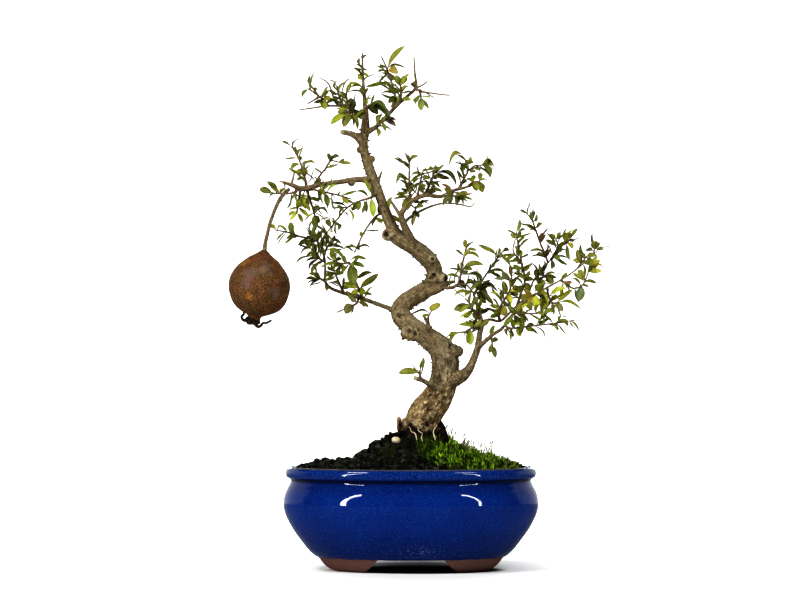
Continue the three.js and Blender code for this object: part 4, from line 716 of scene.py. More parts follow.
def soilPiece():
    share = np.linspace(1, 0.012, ground["rings"]) ** 0.85
    top = ovalRings(joined(92.1 * share, 0), ground["sides"])
    x, y = top[..., 0], top[..., 1]
    top[..., 2] = soilHeight(x, y) + crumbly(x, y) * smoothStep(share, 1.0, 0.97)[:, None]
    rings = np.concatenate([ovalRings(ground["side"], ground["sides"]), top])
    tone = blankMarks(rings)
    green = smoothStep(softNoise(rings * 0.09, 30) + 0.6 * softNoise(rings * 0.5, 31), 0.05, 0.6)
    nearMoss = smoothStep(rings[..., 0], -45, 5) * smoothStep(rings[..., 1], 22, -12)
    tone[..., 1] = green * nearMoss * 0.3
    tone[..., 2] = smoothStep(softNoise(rings * 1.3, 32), 0.6, 0.85) * 0.5
    peak = np.array([[0, 0, soilHeight(0.0, 0.0) - 0.5]])
    return tubes(rings[None], np.array([[0, 0, 17.5]]), peak, tone=tone[None])


def crumbBalls(centres, sizes, seed):
    # small stones of soil: balls of two rings with every point pushed in or out at random
    count, lift = len(centres), np.array([-0.5, 0.5])
    shift = seeded(seed)
    ball = roundRings(np.sqrt(1 - lift ** 2), lift, around(5) + lift[:, None])
    rough = shift.uniform(0.75, 1.4, (count, 2, 5, 1))
    squash = shift.uniform(0.55, 1.25, (count, 1, 1, 3))
    rings = ball * rough * squash * sizes[:, None, None, None] + centres[:, None, None]
    pole = np.array([0, 0, 1]) * sizes[:, None] * squash[:, 0, 0]
    tone = blankMarks(rings)
    tone[..., 2] = (shift.uniform(0, 1, count) ** 3)[:, None, None] * 0.85
    return tubes(rings, centres - pole, centres + pole, tone=tone)


def soilCrumbs():
    count = ground["crumbs"]
    angle = chance.uniform(0, 2 * np.pi, count)
    radius = 91 * np.sqrt(chance.uniform(0, 1, count))
    x, y = radius * np.cos(angle), pot["depth"] * radius * np.sin(angle)
    low, high = ground["crumbSize"]
    size = low + (high - low) * chance.uniform(0, 1, count) ** 2.5
    size = size * np.where(x < -25, 1.5, 1.0)
    z = soilHeight(x, y) + crumbly(x, y) + np.where(x < -25, 0.55, 0.25) * size
    return crumbBalls(joined(x, y, z), size, 41)


def fibres(count, seed, windowX, windowY):
    # bits of root and bark lying in the soil
    pick = seeded(seed)
    for _ in range(count):
        x, y = pick.uniform(*windowX), pick.uniform(*windowY)
        turn, long = pick.uniform(0, 2 * np.pi), pick.uniform(3, 9)
        points = []
        for share in (0, 0.35, 0.7, 1):
            px, py = x + long * share * np.cos(turn), y + long * share * np.sin(turn)
            rise = 0.5 + 1.6 * share * pick.uniform(0, 1)
            points.append([px, py, soilHeight(px, py) + rise, 0.35 * (1.1 - share * 0.6)])
            turn += pick.uniform(-0.5, 0.5)
        yield sweep(points, 5, 7)


def mossOutline(patch, share, angle):
    # an oval near a rectangle: powers of cosine and sine, cut back inside the pot's wall
    x, y = (middle + half * share * np.sign(wave) * np.abs(wave) ** 0.75
            for middle, half, wave in zip(patch["centre"], patch["half"], (np.cos(angle), np.sin(angle))))
    spread = np.hypot(x / 91, y / (91 * pot["depth"]))
    return x / np.maximum(spread, 1), y / np.maximum(spread, 1)


def mossBed(patch):
    # a lumpy carpet: a disc whose top follows the soil and thins towards its edge
    share = np.concatenate([np.linspace(0.3, 1, 6), np.linspace(1, 0.02, 46)])
    top = np.arange(len(share)) >= 6
    angle = around(120)
    ripple = softNoise(joined(3 * np.cos(angle), 3 * np.sin(angle), 0), 61)
    wavy = 1 + 0.07 * np.sin(-patch["lumps"] * angle) + 0.035 * ripple
    radius = share[:, None] * wavy
    x, y = mossOutline(patch, radius, angle)
    flat = joined(x, y, 0)
    lumps = 0.8 * softNoise(flat * 0.16, 62) + 0.5 * softNoise(flat * 0.5, 63)
    lift = patch["thick"] * 0.75 * (1 - 0.55 * radius ** 4) + lumps * smoothStep(share, 1, 0.9)[:, None]
    z = soilHeight(x, y) + 0.4 + np.where(top[:, None], lift, -2.0)
    return joined(x, y, z)


def tufts(x, y):
    # where the moss stands in bunches, from -1 in the gaps to 1 in the middle of a bunch
    return layeredNoise(joined(x * 0.6, y * 0.3, 0), 2, 69) * 1.5


def mossColour(patch, x, y, bright, seed):
    # from near-black painted shade in the hollows between tufts to bright yellow-green, and browner to the
    # right
    flat = joined(x, y, 0)
    patchy = 0.5 + 0.5 * softNoise(flat * 0.09, seed)
    tuft = 0.12 + 0.88 * smoothStep(tufts(x, y), -0.3, 0.35)
    bright = np.clip(bright * tuft * (0.7 + 0.6 * patchy), 0, 1)[..., None]
    dryness = 0.35 + 0.65 * smoothStep(softNoise(flat * 0.13, seed + 1), -0.3, 0.35)
    brown = (smoothStep(x, 56, 74) * dryness)[..., None]
    gap, fresh, dry = (np.array(patch[key]) for key in ("gap", "fresh", "dry"))
    fresh = (1 - bright) * gap + bright * fresh
    dry = (1 - bright) * gap * [1.6, 0.8, 1.5] + bright * dry
    colour = fresh * (1 - 0.8 * brown) + dry * 0.8 * brown
    return np.concatenate([colour, np.ones(colour.shape[:-1] + (1,))], axis=-1)


def mossBlades(patch, seed, finish=0):
    # leaf blades of moss: three-sided spikes that bend once and lean at random
    pick = seeded(seed)
    count = patch["blades"]
    angle, share = pick.uniform(0, 2 * np.pi, count), np.sqrt(pick.uniform(0, 1, count)) * 1.02
    x, y = mossOutline(patch, share, angle)
    inside = (x / 93) ** 2 + (y / (93 * pot["depth"])) ** 2 < 0.97
    x, y, share = x[inside], y[inside], share[inside]
    count = len(x)
    lumps = 0.8 * softNoise(joined(x, y, 0) * 0.16, 62)
    z = soilHeight(x, y) + 0.2 + patch["thick"] * 0.7 * (1 - 0.55 * share ** 4) + lumps
    if not patch["thick"]:
        z = soilHeight(x, y) + crumbly(x, y) + 1.2
    low, high = patch["length"]
    long = pick.uniform(low, high, count) * (1 - 0.35 * share ** 3) * (0.8 + 0.5 * tufts(x, y))
    long = np.maximum(long, 0.35 * low)
    sway = patch["sway"]
    lean = joined(pick.normal(0, sway, count), pick.normal(0, sway, count), 1)
    lean[:, :2] += 0.25 * (joined(x, y) - patch["centre"]) / patch["half"]
    lean = unit(lean)
    droop = joined(pick.normal(0, 0.3, count), pick.normal(0, 0.3, count), 0)
    foot = joined(x, y, z - 0.8)
    angle = around(3) + pick.uniform(0, 6, count)[:, None]
    circle = joined(np.cos(angle), np.sin(angle), 0)
    wide = pick.uniform(*patch["wide"], count)[:, None, None]
    middle = foot + lean * long[:, None] * 0.5
    tip = foot + lean * long[:, None] + droop * long[:, None] * 0.5
    rings = np.stack([foot[:, None] + circle * wide * 0.8, middle[:, None] + circle * wide], axis=1)
    left = patch["centre"][0] - 40
    bright = pick.uniform(0, 1, count) ** 2.1 * (0.35 + 0.65 * smoothStep(x, left, left + 20))
    # each blade is dark at its foot: painted shade deep in the moss
    tone = mossColour(patch, x, y, bright, 66)[:, None, None] * np.array([[0.12], [1.0]])[:, None]
    return tubes(rings, foot, tip, tone=tone, finish=finish)


def mossStalks(patch, seed):
    # hair-thin stalks that carry small dark spore capsules
    pick = seeded(seed)
    for _ in range(patch["stalks"]):
        x, y = pick.uniform(30, 66), pick.uniform(-34, 6)
        z, long = soilHeight(x, y) + 3, pick.uniform(6, 13)
        sway = pick.uniform(-0.3, 0.3, 2)
        points = [[x + sway[0] * long * s ** 2, y + sway[1] * long * s ** 2, z + long * s, 0.3]
                  for s in (0, 0.5, 1)]
        pale = (0.27, 0.31, 0.09, 1) if pick.uniform() < 0.6 else (0.16, 0.10, 0.05, 1)
        yield sweep(points, 4, 6, tint=lambda *_, pale=pale: pale)
        if pick.uniform() < 0.5:
            end = points[-1]
            capsule = [[end[0], end[1], end[2] - 0.3, 0.3], [end[0] + 0.5, end[1], end[2] + 0.5, 0.55],
                       [end[0] + 0.9, end[1], end[2] + 1.3, 0.35]]
            yield sweep(capsule, 6, 6, tint=lambda *_: (0.035, 0.028, 0.012, 1))


def mossPiece(name, patch, seed):
    rings = mossBed(patch)
    x, y, _ = np.moveaxis(rings, -1, 0)
    # the bed under the blades is coloured almost as dark as the gaps: painted shade
    tone = mossColour(patch, x, y, 0.06 + 0 * x, 66)
    centre = np.array([[*patch["centre"], soilHeight(*patch["centre"]) - 1.6]])
    bed = tubes(rings[None], centre, rings[-1].mean(axis=0)[None], tone=tone[None])
    makePiece(name, [bed, mossBlades(patch, seed), *mossStalks(patch, seed + 1)], [mossFinish])


soilParts = [soilPiece(), soilCrumbs(), mossBlades(ground["threads"], 79, 1)]
soilParts += fibres(46, 51, (-78, 10), (-52, 40))
makePiece("soil", soilParts, [earth["potting soil"], mossFinish])
mossPiece("moss_cushion", ground["cushion"], 71)
mossPiece("low_moss_patch", ground["lowPatch"], 75)


trunk = {
    "path": [
        [5, 1.4, 88, 13.6], [6, 0.7, 100, 15], [7.6, 0, 110, 15.2], [9.4, 0, 119.8, 13.6],
        [13.7, -1.4, 127.8, 13.2], [19.5, -2.9, 135.8, 12.4], [23.7, -4.3, 143.8, 11.5],
        [26.5, -5.8, 151.8, 11.2], [27.6, -7.2, 160, 10.8], [27.4, -8.7, 168.5, 10.5],
        [23.5, -8.7, 177.5, 10], [15.3, -5.8, 184.6, 8.6], [7.3, -1.4, 190.2, 8], [-0.7, 2.9, 195.8, 8],
        [-6.6, 7.2, 201.8, 8], [-8.2, 10.2, 207.8, 7.8], [-5.3, 11.6, 213.2, 7.4], [1.5, 11.6, 218.2, 7.1],
        [9.6, 10.2, 222.6, 7], [15.9, 8.7, 227.8, 6.8], [18.8, 5.8, 234, 6.8], [18.2, 2.9, 241, 6.6],
        [12.6, -1.4, 249.4, 6.8], [0.9, -5.8, 259, 6.6], [-12, -8.7, 267.4, 6.3], [-16.2, -8.7, 275.8, 4.8],
        [-20.9, -7.2, 287.8, 4], [-26.7, -4.3, 303.8, 3.9], [-31.4, -1.4, 315.8, 4.1],
        [-35.6, 1.4, 327.8, 3.9], [-37.9, 2.9, 339.8, 3.5], [-36.6, 2.9, 351.8, 3.7],
        [-36.2, 1.4, 361.8, 2.7], [-36.2, 0, 370, 1.9],
    ],
    "knobs": [
        [-40.6, 2, 336, 3], [-31.6, 0, 328.5, 3.1], [-5.4, 0, 188.8, 3.2], [-1.8, -1.4, 187.3, 3.5],
        [2, -3, 186, 3.4], [-18, -10.5, 268, 5.4], [25.6, 0, 233.6, 4.3], [17, -7, 248.4, 3.8],
        [-3, -9, 118, 5], [22, -9, 112, 5], [13, -6, 213, 2.4], [6, -3, 210, 2.2],
    ],
    "stubs": [
        [[-37.5, 2.9, 341, 3], [-42.5, 0, 346, 2.6], [-48, -2.9, 348.6, 2.2], [-54.5, -4.3, 350, 2]],
        [[-6, -3, 106, 2.6], [-8.8, -5, 114, 2.2], [-9.8, -6, 121, 1.6]],
        [[22, -8.7, 172, 7], [30, -9.4, 174, 5.8], [35.5, -10, 174.8, 4.9], [37.2, -10.2, 174.9, 4]],
        [[13, 6, 222, 2.4], [19, 4, 223.8, 3.3], [24.5, 2, 226.6, 3.1], [30, 0.5, 229.4, 1.8],
         [34, 0, 230.4, 1.2]],
        [[-27, -4.3, 309, 1.6], [-25, -7.2, 314, 0.9], [-23.4, -8.7, 318, 0.6]],
        [[14, -11.6, 190, 2.2], [13.5, -18.8, 197, 1.5], [11, -20.3, 201.5, 1.1]],
        [[19, -14.5, 146, 2], [10, -24.6, 151.5, 1.8], [3.5, -27.6, 153.8, 1.7]],
    ],
    # hollows and scars: x, y, z of the middle, how far they spread, depth, darkness (the scar's own dark and
    # painted shade in the hollow)
    "hollows": [
        [17.2, -10.4, 248.8, 1.5, 1.2, 0.85], [18.5, -1.2, 235.6, 2.1, 1.6, 0.9],
        [15.6, -1, 233.4, 1.5, 1, 0.8], [-20, -15.5, 268.4, 2.7, 1.2, 0.9], [29.2, -3, 233.4, 3, 1.2, 0.95],
        [-9.5, 0.2, 203.8, 2.4, 0.7, 0.6], [-6.6, -4, 192, 2, 1, 0.8], [-1.5, -6, 190.6, 2, 1.1, 0.85],
        [3, -8, 189, 1.8, 0.9, 0.7], [31.5, -15, 178.6, 2.4, 1.2, 0.75], [22, -16.6, 153, 3, 0.9, 0.4],
        [12, -15, 130, 4, 0.8, 0.3], [1, -14, 109, 6.2, 3.6, 0.97], [10, -16, 106, 5.6, 3, 0.97],
        [-5.5, -12, 103, 5, 2.6, 0.97], [18, -16, 108, 3.4, 2, 0.9], [30, -19, 166, 3.4, 0.9, 0.45],
        [4, -12, 258, 2, 0.9, 0.4], [24, 8, 150, 3, 1.6, 0.6], [2, 16, 112, 4, 1.8, 0.6],
        [10, 9, 185, 3, 1.3, 0.6], [-5, 3, 262, 2.2, 1, 0.5], [14, 6, 248, 2.6, 1.2, 0.5],
    ],
    # the ends of the stubs that were cut, pale in the middle: x, y, z, size
    "cuts": [(37.5, -9, 174, 3.4), (-54.5, -4.3, 350, 2.4), (3.5, -27.6, 153.8, 2.3), (-9.8, -6, 121.5, 1.4)],
    "sides": 112, "rows": 700, "warmBelow": 150, "thorns": 90,
}


def raggedDistance(place, centre, wide):
    # the distance from a scar's middle in shares of its width, with noise for a ragged edge
    away = sizeOf(place - centre) / wide
    return away * (1 + 0.35 * softNoise(place * 0.8, 97) + 0.25 * softNoise(place * 1.9, 98))


def barkRelief(size, lumpScale, seed, knobs=(), hollows=(), thorns=0.0, calmAbove=None):
    # lumps, long ridges and flakes of the straightened bark; bells for knobs; dents for hollows
    def relief(grain, place, direction, radius):
        lumps = layeredNoise(grain * lumpScale * [1, 1, 0.7], 3, seed)
        ridges = 1 - 2 * np.abs(softNoise(grain * lumpScale * [4.2, 4.2, 0.9], seed + 5))
        flakes = layeredNoise(grain * lumpScale * [6.5, 6.5, 3.8], 3, seed + 9)
        plates = np.abs(softNoise(grain * lumpScale * [2.4, 2.4, 1.5], seed + 13))
        fine = 1 if calmAbove is None else 1 - 0.65 * smoothStep(place[..., 2], calmAbove, calmAbove + 70)
        push = size * (0.85 * lumps + fine * (0.26 * ridges + 0.4 * flakes + 0.5 * plates) - 0.25)
        push = push * np.clip(radius / radius.max() * 1.5, 0.45, 1)
        if thorns:
            push = push + thorns * smoothStep(softNoise(grain * lumpScale * 5.5, seed + 17), 0.62, 0.86)
        for x, y, z, wide in knobs:
            away = sizeOf(place - (x, y, z))
            reach = np.sum(((x, y, z) - place) * direction, axis=-1)
            sphere = reach + np.sqrt(np.maximum(wide ** 2 - away ** 2 + reach ** 2, 0))
            push = push + np.maximum(sphere, 0) * smoothStep(away, wide * 1.5, wide * 0.7)
        for x, y, z, wide, deep, _ in hollows:
            away = raggedDistance(place, (x, y, z), wide)
            rim = np.exp(-(((away - 1.6) / 0.55) ** 2))
            push = push + deep * (0.4 * rim - 1.1 * np.exp(-(away ** 2)))
        return push
    return relief


def barkTint(seed, lumpScale, hollows=(), warmBelow=0.0, cuts=()):
    # marks for the bark's finish: dark where the relief is low, warm low on the trunk, pale cut faces;
    # painted light on top, painted shade underneath, in the hollows and where the trunk meets the soil
    def tint(grain, place, direction, radius):
        lows = layeredNoise(grain * lumpScale * [6.5, 6.5, 3.8], 3, seed + 9)
        marks = blankMarks(place)
        dark = smoothStep(lows, -0.28, -0.62) * 0.8
        marks[..., 2] = 0.2 * smoothStep(direction[..., 2], 0.15, 0.9)  # painted light on top, painted shade underneath
        dark = np.maximum(dark, 0.3 * smoothStep(direction[..., 2], -0.25, -0.9))
        if warmBelow:
            dark = dark * (1 - 0.75 * smoothStep(place[..., 2], warmBelow, warmBelow + 70))
        # hollows are darkened: the scars' own dark colour, and painted shade in the hollows
        for x, y, z, wide, _, darkness in hollows:
            away = raggedDistance(place, (x, y, z), wide)
            dark = np.maximum(dark, darkness * smoothStep(away, 1.2, 0.6))
            marks[..., 2] = np.maximum(marks[..., 2], 0.5 * darkness * np.exp(-(((away - 1.6) / 0.4) ** 2)))
        for x, y, z, wide in cuts:
            away = sizeOf(place - (x, y, z))
            marks[..., 2] = np.maximum(marks[..., 2], smoothStep(away, wide, wide * 0.6))
        marks[..., 1] = 0.3
        if warmBelow:
            marks[..., 1] = smoothStep(place[..., 2], warmBelow + 22, warmBelow - 22)
            level = place[..., 2] + 15 * layeredNoise(place * 0.24, 3, seed + 3)
            dark = np.maximum(dark, smoothStep(level, 119, 111) * 0.97)  # painted shade where the trunk meets the soil
        marks[..., 0] = dark
        return marks
    return tint


def thornsOn(path, count, seed):
    # short dry thorns and bud scars, standing square to the wood, more of them underneath
    pick = seeded(seed)
    curve = curveThrough(path, 200)
    along = unit(np.gradient(curve[:, :3], axis=0))
    for _ in range(count):
        spot = pick.integers(40, 190)
        out = pick.normal(0, 1, 3) - [0, 0, 0.5]
        out = unit(out - np.dot(out, along[spot]) * along[spot])
        foot = curve[spot, :3] + out * curve[spot, 3] * 0.85
        tall = pick.uniform(0.9, 1.9) + 0.18 * curve[spot, 3]
        tip = foot + (out + along[spot] * pick.uniform(-0.3, 0.6)) * tall
        yield sweep([[*foot, 0.9], [*((foot + tip) / 2), 0.75], [*tip, 0.3]], 7, 6,
                    tint=lambda *_: (0.55, 0.3, 0, 1))


trunkParts = [sweep(trunk["path"], trunk["sides"], trunk["rows"],
                    barkRelief(1.15, 0.13, 101, trunk["knobs"], trunk["hollows"], 0.5, trunk["warmBelow"]),
                    barkTint(101, 0.13, trunk["hollows"], trunk["warmBelow"]))]
for index, stub in enumerate(trunk["stubs"]):
    trunkParts.append(sweep(stub, 28, 60, barkRelief(0.32, 0.42, 120 + index, thorns=0.3),
                            barkTint(120 + index, 0.42, warmBelow=130, cuts=trunk["cuts"]), flare=0.5))
trunkParts += thornsOn(trunk["path"], trunk["thorns"], 119)
makePiece("trunk", trunkParts, [bark])

rooting = {
    "pale_root_left": [[-2.5, -11.5, 116, 0.7], [-1, -13.4, 113.4, 0.8], [1, -15.5, 111, 1],
                       [2.6, -17.4, 109.6, 0.9], [4.5, -18.5, 106, 1.1], [6, -21, 98, 0.8]],
    "pale_root_middle": [[5, -14, 115, 0.7], [5.6, -15.4, 113.4, 0.75], [6.5, -16.4, 111.5, 0.9],
                         [8.4, -17.6, 109.4, 0.8], [9, -19, 106.5, 0.9], [11, -21, 98, 0.7]],
    "pale_root_right": [[20, -12.5, 116, 0.7], [18.6, -15, 111, 1.1], [18.8, -17.4, 105, 1],
                        [20, -19, 98, 0.8]],
    "bare": 0.42,  # how thick the bare root is, of the root with its sleeve of soil
    "arch": [[-23, -9, 98, 1.8], [-19, -10, 104.5, 1.7], [-14, -10, 108, 1.6], [-6, -7, 110, 1.8]],
    "rootlets": [[[-15, -11, 108, 0.7], [-11, -15, 106, 0.6], [-8, -17, 103, 0.4]],
                 [[-18, -11, 105.5, 0.7], [-21, -15, 103, 0.5], [-22, -17, 99, 0.4]]],
    "stump": [[25.5, -12, 98, 5.5], [25.3, -12, 106, 5], [24.6, -12.5, 113, 3], [23.8, -12, 119, 0.8]],
    "stone": (-12, -19.5, 104.4), "stoneHalf": (3.5, 2.9, 2.6),
}


def wrinkles(size, scale, seed):
    # small wrinkles all over
    return lambda grain, place, direction, radius: size * layeredNoise(grain * scale, 3, seed)


def splinters(grain, place, direction, radius):
    # long splinters of rotten wood
    return 1.1 * layeredNoise(grain * [0.5, 0.5, 0.08], 3, 145) + 0.4 * softNoise(grain * 0.9, 147)


def pebble():
    # a worn stone: a ball stretched on three axes, with soft dents
    lift = np.linspace(-0.96, 0.96, 26)
    ball = roundRings(np.sqrt(1 - lift ** 2), lift, around(40))
    worn = 1 + 0.10 * softNoise(ball * 1.7, 151) + 0.03 * softNoise(ball * 6, 152)
    rings = ball * worn[..., None] * rooting["stoneHalf"] + rooting["stone"]
    middle, pole = np.array([rooting["stone"]]), np.array([0, 0, 2.55])
    return tubes(rings[None], middle - pole, middle + pole)


for index, name in enumerate(("pale_root_left", "pale_root_middle", "pale_root_right")):
    path = [[x + 0.7 * math.sin(2.4 * step + index), y + 0.5 * math.cos(2 * step), z,
             rooting["bare"] * radius] for step, (x, y, z, radius) in enumerate(rooting[name])]
    root = sweep(path, 16, 60, wrinkles(0.16, 0.7, 131 + index))
    makePiece(name, [root], [earth["pale root"]], 50)
archParts = [sweep(rooting["arch"], 24, 90, wrinkles(0.5, 0.4, 141))]
archParts += [sweep(path, 8, 24, wrinkles(0.15, 0.8, 143)) for path in rooting["rootlets"]]
makePiece("arched_root", archParts, [earth["dark root in painted shade"]], 50)
makePiece("dead_stump", [sweep(rooting["stump"], 48, 120, splinters)], [earth["dark root in painted shade"]], 50)
makePiece("pale_stone", [pebble()], [earth["pale stone"]], 50)


fruit = {
    "top": (-116.7, -14.5, 255.8), "tilt": 0.149, "sides": 150, "rows": 190,
    "profile": [[0.9, -0.4], [1.7, -0.2], [3.2, -1.2], [5.4, -3], [8.6, -5.2], [12.2, -7.6], [15, -10.2],
                [18.8, -13.8], [22.2, -18.6], [24.3, -24], [24.7, -29], [23.9, -35], [22.2, -40.2],
                [19.6, -44.8], [15.9, -48.4], [12, -50.8], [8, -52.4], [5.6, -53.6], [4.9, -55], [5, -56.8],
                [5.4, -58.2], [5, -58.8], [4.1, -58], [3.2, -56.4], [1.6, -55.8]],
    # dried sepals as x, y, z, half width: the two that curl, then the short broken ones
    "sepals": [
        [[-129.4, -15, 201.6, 1.7], [-131.8, -15.5, 199.6, 1.3], [-134.3, -16, 200.6, 1.0],
         [-134.8, -16.2, 202.9, 0.95], [-133.2, -16, 204.4, 0.9], [-133.4, -15.8, 206.8, 0.7]],
        [[-123.4, -16, 200.6, 1.6], [-123.6, -17.5, 196.6, 1.3], [-121.6, -18, 194.5, 1.1],
         [-119.2, -17.6, 195.6, 1.0], [-118, -17, 197.3, 0.9], [-115, -16.4, 197.6, 0.85],
         [-111.8, -16, 199.2, 0.75]],
        [[-127.8, -19, 199.4, 1.4], [-128.6, -20.4, 197.6, 1.2], [-127, -21, 196.9, 0.8],
         [-125.4, -20.6, 197.4, 0.4]],
        [[-125, -19.2, 198.8, 1.3], [-124.4, -21, 197, 1.0], [-123, -22, 197.4, 0.5]],
        [[-128.4, -10.4, 199.6, 1.3], [-129.6, -8.4, 197.8, 1.1], [-131, -7.4, 198.4, 0.6]],
        [[-124, -10.6, 199, 1.4], [-123, -8.6, 196.8, 1.1], [-121.2, -7.6, 197.6, 0.5]],
    ],
    # patches of grey painted sheen and orange scars as x, y, z of the middle from the fruit's top, and size
    "paintedSheen": [(-8, -21, -21, 6.5), (-9, -20, -28, 5), (3, -18, -14, 6), (14, -18, -32, 5), (-14, 16, -22, 8),
              (12, 18, -30, 9), (20, 3, -22, 5)],
    "scars": [(-13.5, -10.5, -12, 4.6), (2, -18.5, -16, 2.8), (8, -19, -20, 1.8), (-6, -23, -38, 3.4),
              (-15, -17, -30, 2.4), (9, 20, -18, 3), (-18, 12, -34, 3)],
    "stamens": 22,
    "stalk": [[-96.5, -19.4, 304.4, 1.2], [-101.5, -19.7, 299.8, 1.3], [-104.8, -19.4, 295, 1.3],
              [-107.9, -18.8, 288.6, 1.2], [-110.4, -18, 282.2, 1.2], [-112.8, -16.8, 275, 1.2],
              [-114.4, -15.9, 267.8, 1.2], [-116, -15.1, 261.4, 1.3], [-116.7, -14.5, 254, 1.6]],
    "stalkKnob": [-104.2, -19.4, 295.6, 1.9],
}


def hangFruit(points):
    # turned about the pot's depth so that the crown swings to the left, and hung under the stalk
    cos, sin = math.cos(fruit["tilt"]), math.sin(fruit["tilt"])
    x, y, z = points[..., 0], points[..., 1], points[..., 2]
    return joined(x * cos + z * sin, y, z * cos - x * sin) + fruit["top"]


def fruitSkin():
    profile = [[radius, 0, height, 0] for radius, height in fruit["profile"]]
    flat = curveThrough(profile, fruit["rows"])[:, [0, 2]]
    angle = around(fruit["sides"])
    rings = roundRings(flat[:, 0], flat[:, 1], angle)
    belly = smoothStep(flat[:, 1], -4, -14) * smoothStep(flat[:, 1], -56, -48)
    ribs = 0.55 * np.cos(5 * angle + 0.6) + 0.3 * np.cos(3 * angle)
    body = unit(rings - [0, 0, -28])
    dents = 0.9 * softNoise(rings * 0.055, 201) + 0.4 * softNoise(rings * 0.15, 202)
    pits = 0.16 * layeredNoise(rings * 0.6, 3, 203)
    push = (0.5 * ribs + dents) * belly[:, None] + pits
    ragged = 0.6 * np.cos(7 * angle + 1) + 0.5 * np.cos(4 * angle)
    fold = smoothStep(flat[:, 1], -52, -57)[:, None] * ragged
    rings = rings + (push + fold)[..., None] * body * [1, 1, 0.5]
    tone = blankMarks(rings)
    neck = smoothStep(rings[..., 2] + 1.6 * softNoise(rings * 0.3, 207), -54.2, -56.6) * 0.92
    collar = smoothStep(rings[..., 2], -3.4, -1.2) * 0.35
    inner = (np.arange(len(flat)) > len(flat) * 0.87)[:, None] * 1.0
    tone[..., 0] = np.maximum(np.maximum(neck, collar), inner)
    wavy = layeredNoise(rings * 0.35, 3, 205) * 2
    for channel, places, spread in ((1, fruit["paintedSheen"], 0.4), (2, fruit["scars"], 0.3)):
        for x, y, z, wide in places:
            away = sizeOf(rings - (x, y, z)) / wide + spread * wavy
            tone[..., channel] = np.maximum(tone[..., channel], smoothStep(away, 1.3, 0.6))
    start, end = hangFruit(np.array([[0, 0, -0.5]])), hangFruit(np.array([[0, 0, -56.6]]))
    return tubes(hangFruit(rings)[None, ::-1], end, start, tone=tone[None, ::-1])


def sepal(path, seed):
    # a dried sepal: a flat strap that thins to its tip, with wrinkles along it
    path = [[x, y, z, 1.6 * radius] for x, y, z, radius in path]
    return sweep(path, 12, 46, wrinkles(0.12, 0.8, seed), lambda *_: (0.9, 0, 0, 1), flatten=(0.7, 1.0))


def stamens(count, seed):
    # dry threads inside the crown
    pick = seeded(seed)
    for _ in range(count):
        turn, out = pick.uniform(0, 2 * np.pi), pick.uniform(1, 3.4)
        foot = np.array([out * math.cos(turn), out * math.sin(turn), -57])
        tip = foot * [1.15, 1.15, 1] + [0, 0, -pick.uniform(2, 3.8)]
        bend = (foot + tip) / 2 + pick.uniform(-0.5, 0.5, 3)
        path = [[*hangFruit(point), 0.16] for point in (foot, bend, tip)]
        yield sweep(path, 4, 5, tint=lambda *_: (0.6, 0, 0.2, 1))


fruitParts = [fruitSkin()] + [sepal(path, 211 + index) for index, path in enumerate(fruit["sepals"])]
makePiece("fruit", [*fruitParts, *stamens(fruit["stamens"], 221)], [rind], 70)
stalk = sweep([[x, y, z, 1.2 * radius] for x, y, z, radius in fruit["stalk"]], 24, 220,
              barkRelief(0.15, 0.8, 231, [fruit["stalkKnob"]]), barkTint(231, 0.8))
makePiece("fruit_stalk", [stalk], [branchBark], 50)


leaf = {
    "shortest": 12, "share": 0.3, "fold": 0.32, "thick": 0.16, "stations": 9, "steps": 9, "stem": 0.13,
    "wider": 0.98, "wideGap": 7.0,
    # windows of x and z where the crown is dense, with the gap between two leaves, and one in the shade
    "dense": [(48, 78, 188, 224, 1.5), (106, 122, 200, 256, 2), (48, 122, 192, 240, 2.7),
              (-92, -52, 228, 306, 2.7), (-75, -8, 350, 386, 2.7), (-14, 48, 286, 318, 2.7)],
    "shaded": (-17, 67, 284, 336), "shade": 0.72,
}

leafColours = {
    "green": (0.105, 0.135, 0.012), "olive": (0.155, 0.155, 0.016), "dark": (0.048, 0.066, 0.010),
    "lime": (0.25, 0.27, 0.020), "yellow": (0.36, 0.33, 0.03), "orange": (0.29, 0.21, 0.03),
    "brown": (0.17, 0.095, 0.03), "maroon": (0.045, 0.022, 0.016), "grey": (0.13, 0.15, 0.06),
}

# a leaf whose middle lies in one of these windows, x from and to, z from and to, has this colour
leafPatches = {
    "orange": [(88, 96, 216, 222), (40, 45.5, 298, 303), (-16, -12, 396, 400)],
    "yellow": [(75.5, 81, 215, 228), (72, 76, 195, 208), (95, 105, 216, 222), (123, 128.5, 257, 267),
        (143, 151, 237, 248), (39.5, 44, 242, 264), (44, 50, 325, 329), (-39, -36, 357, 364),
        (15, 24, 205, 214)],
    "lime": [(50.5, 58.5, 200, 211), (44, 50, 180, 191), (90, 99, 206, 216), (133, 139, 230, 240),
        (46, 60, 301, 316), (17.5, 20.5, 314, 323), (-42, -38, 391, 395), (-11.6, -4, 386, 394),
        (-96, -81, 277, 299), (-56, -50, 292, 298), (-40, -34.5, 221, 228), (-53, -43, 219, 229),
        (-78.5, -74.5, 252, 261), (113, 128, 212, 224), (-10, 0, 155, 161)],
    "olive": [(-14, -8, 404, 413)],
    "brown": [(103.5, 108, 263, 270), (121, 128, 226, 231), (108, 112, 249, 257), (77.5, 82, 233, 244),
        (24, 31, 303, 309)],
    "maroon": [(-21, -12, 354, 358.5), (2, 12, 200, 206)],
    "grey": [(131, 138, 214, 227), (72, 77, 231, 239)],
    "dark": [(-48, -44, 368, 377), (-60, -55, 236, 241), (-33, -18, 364, 372)],
}


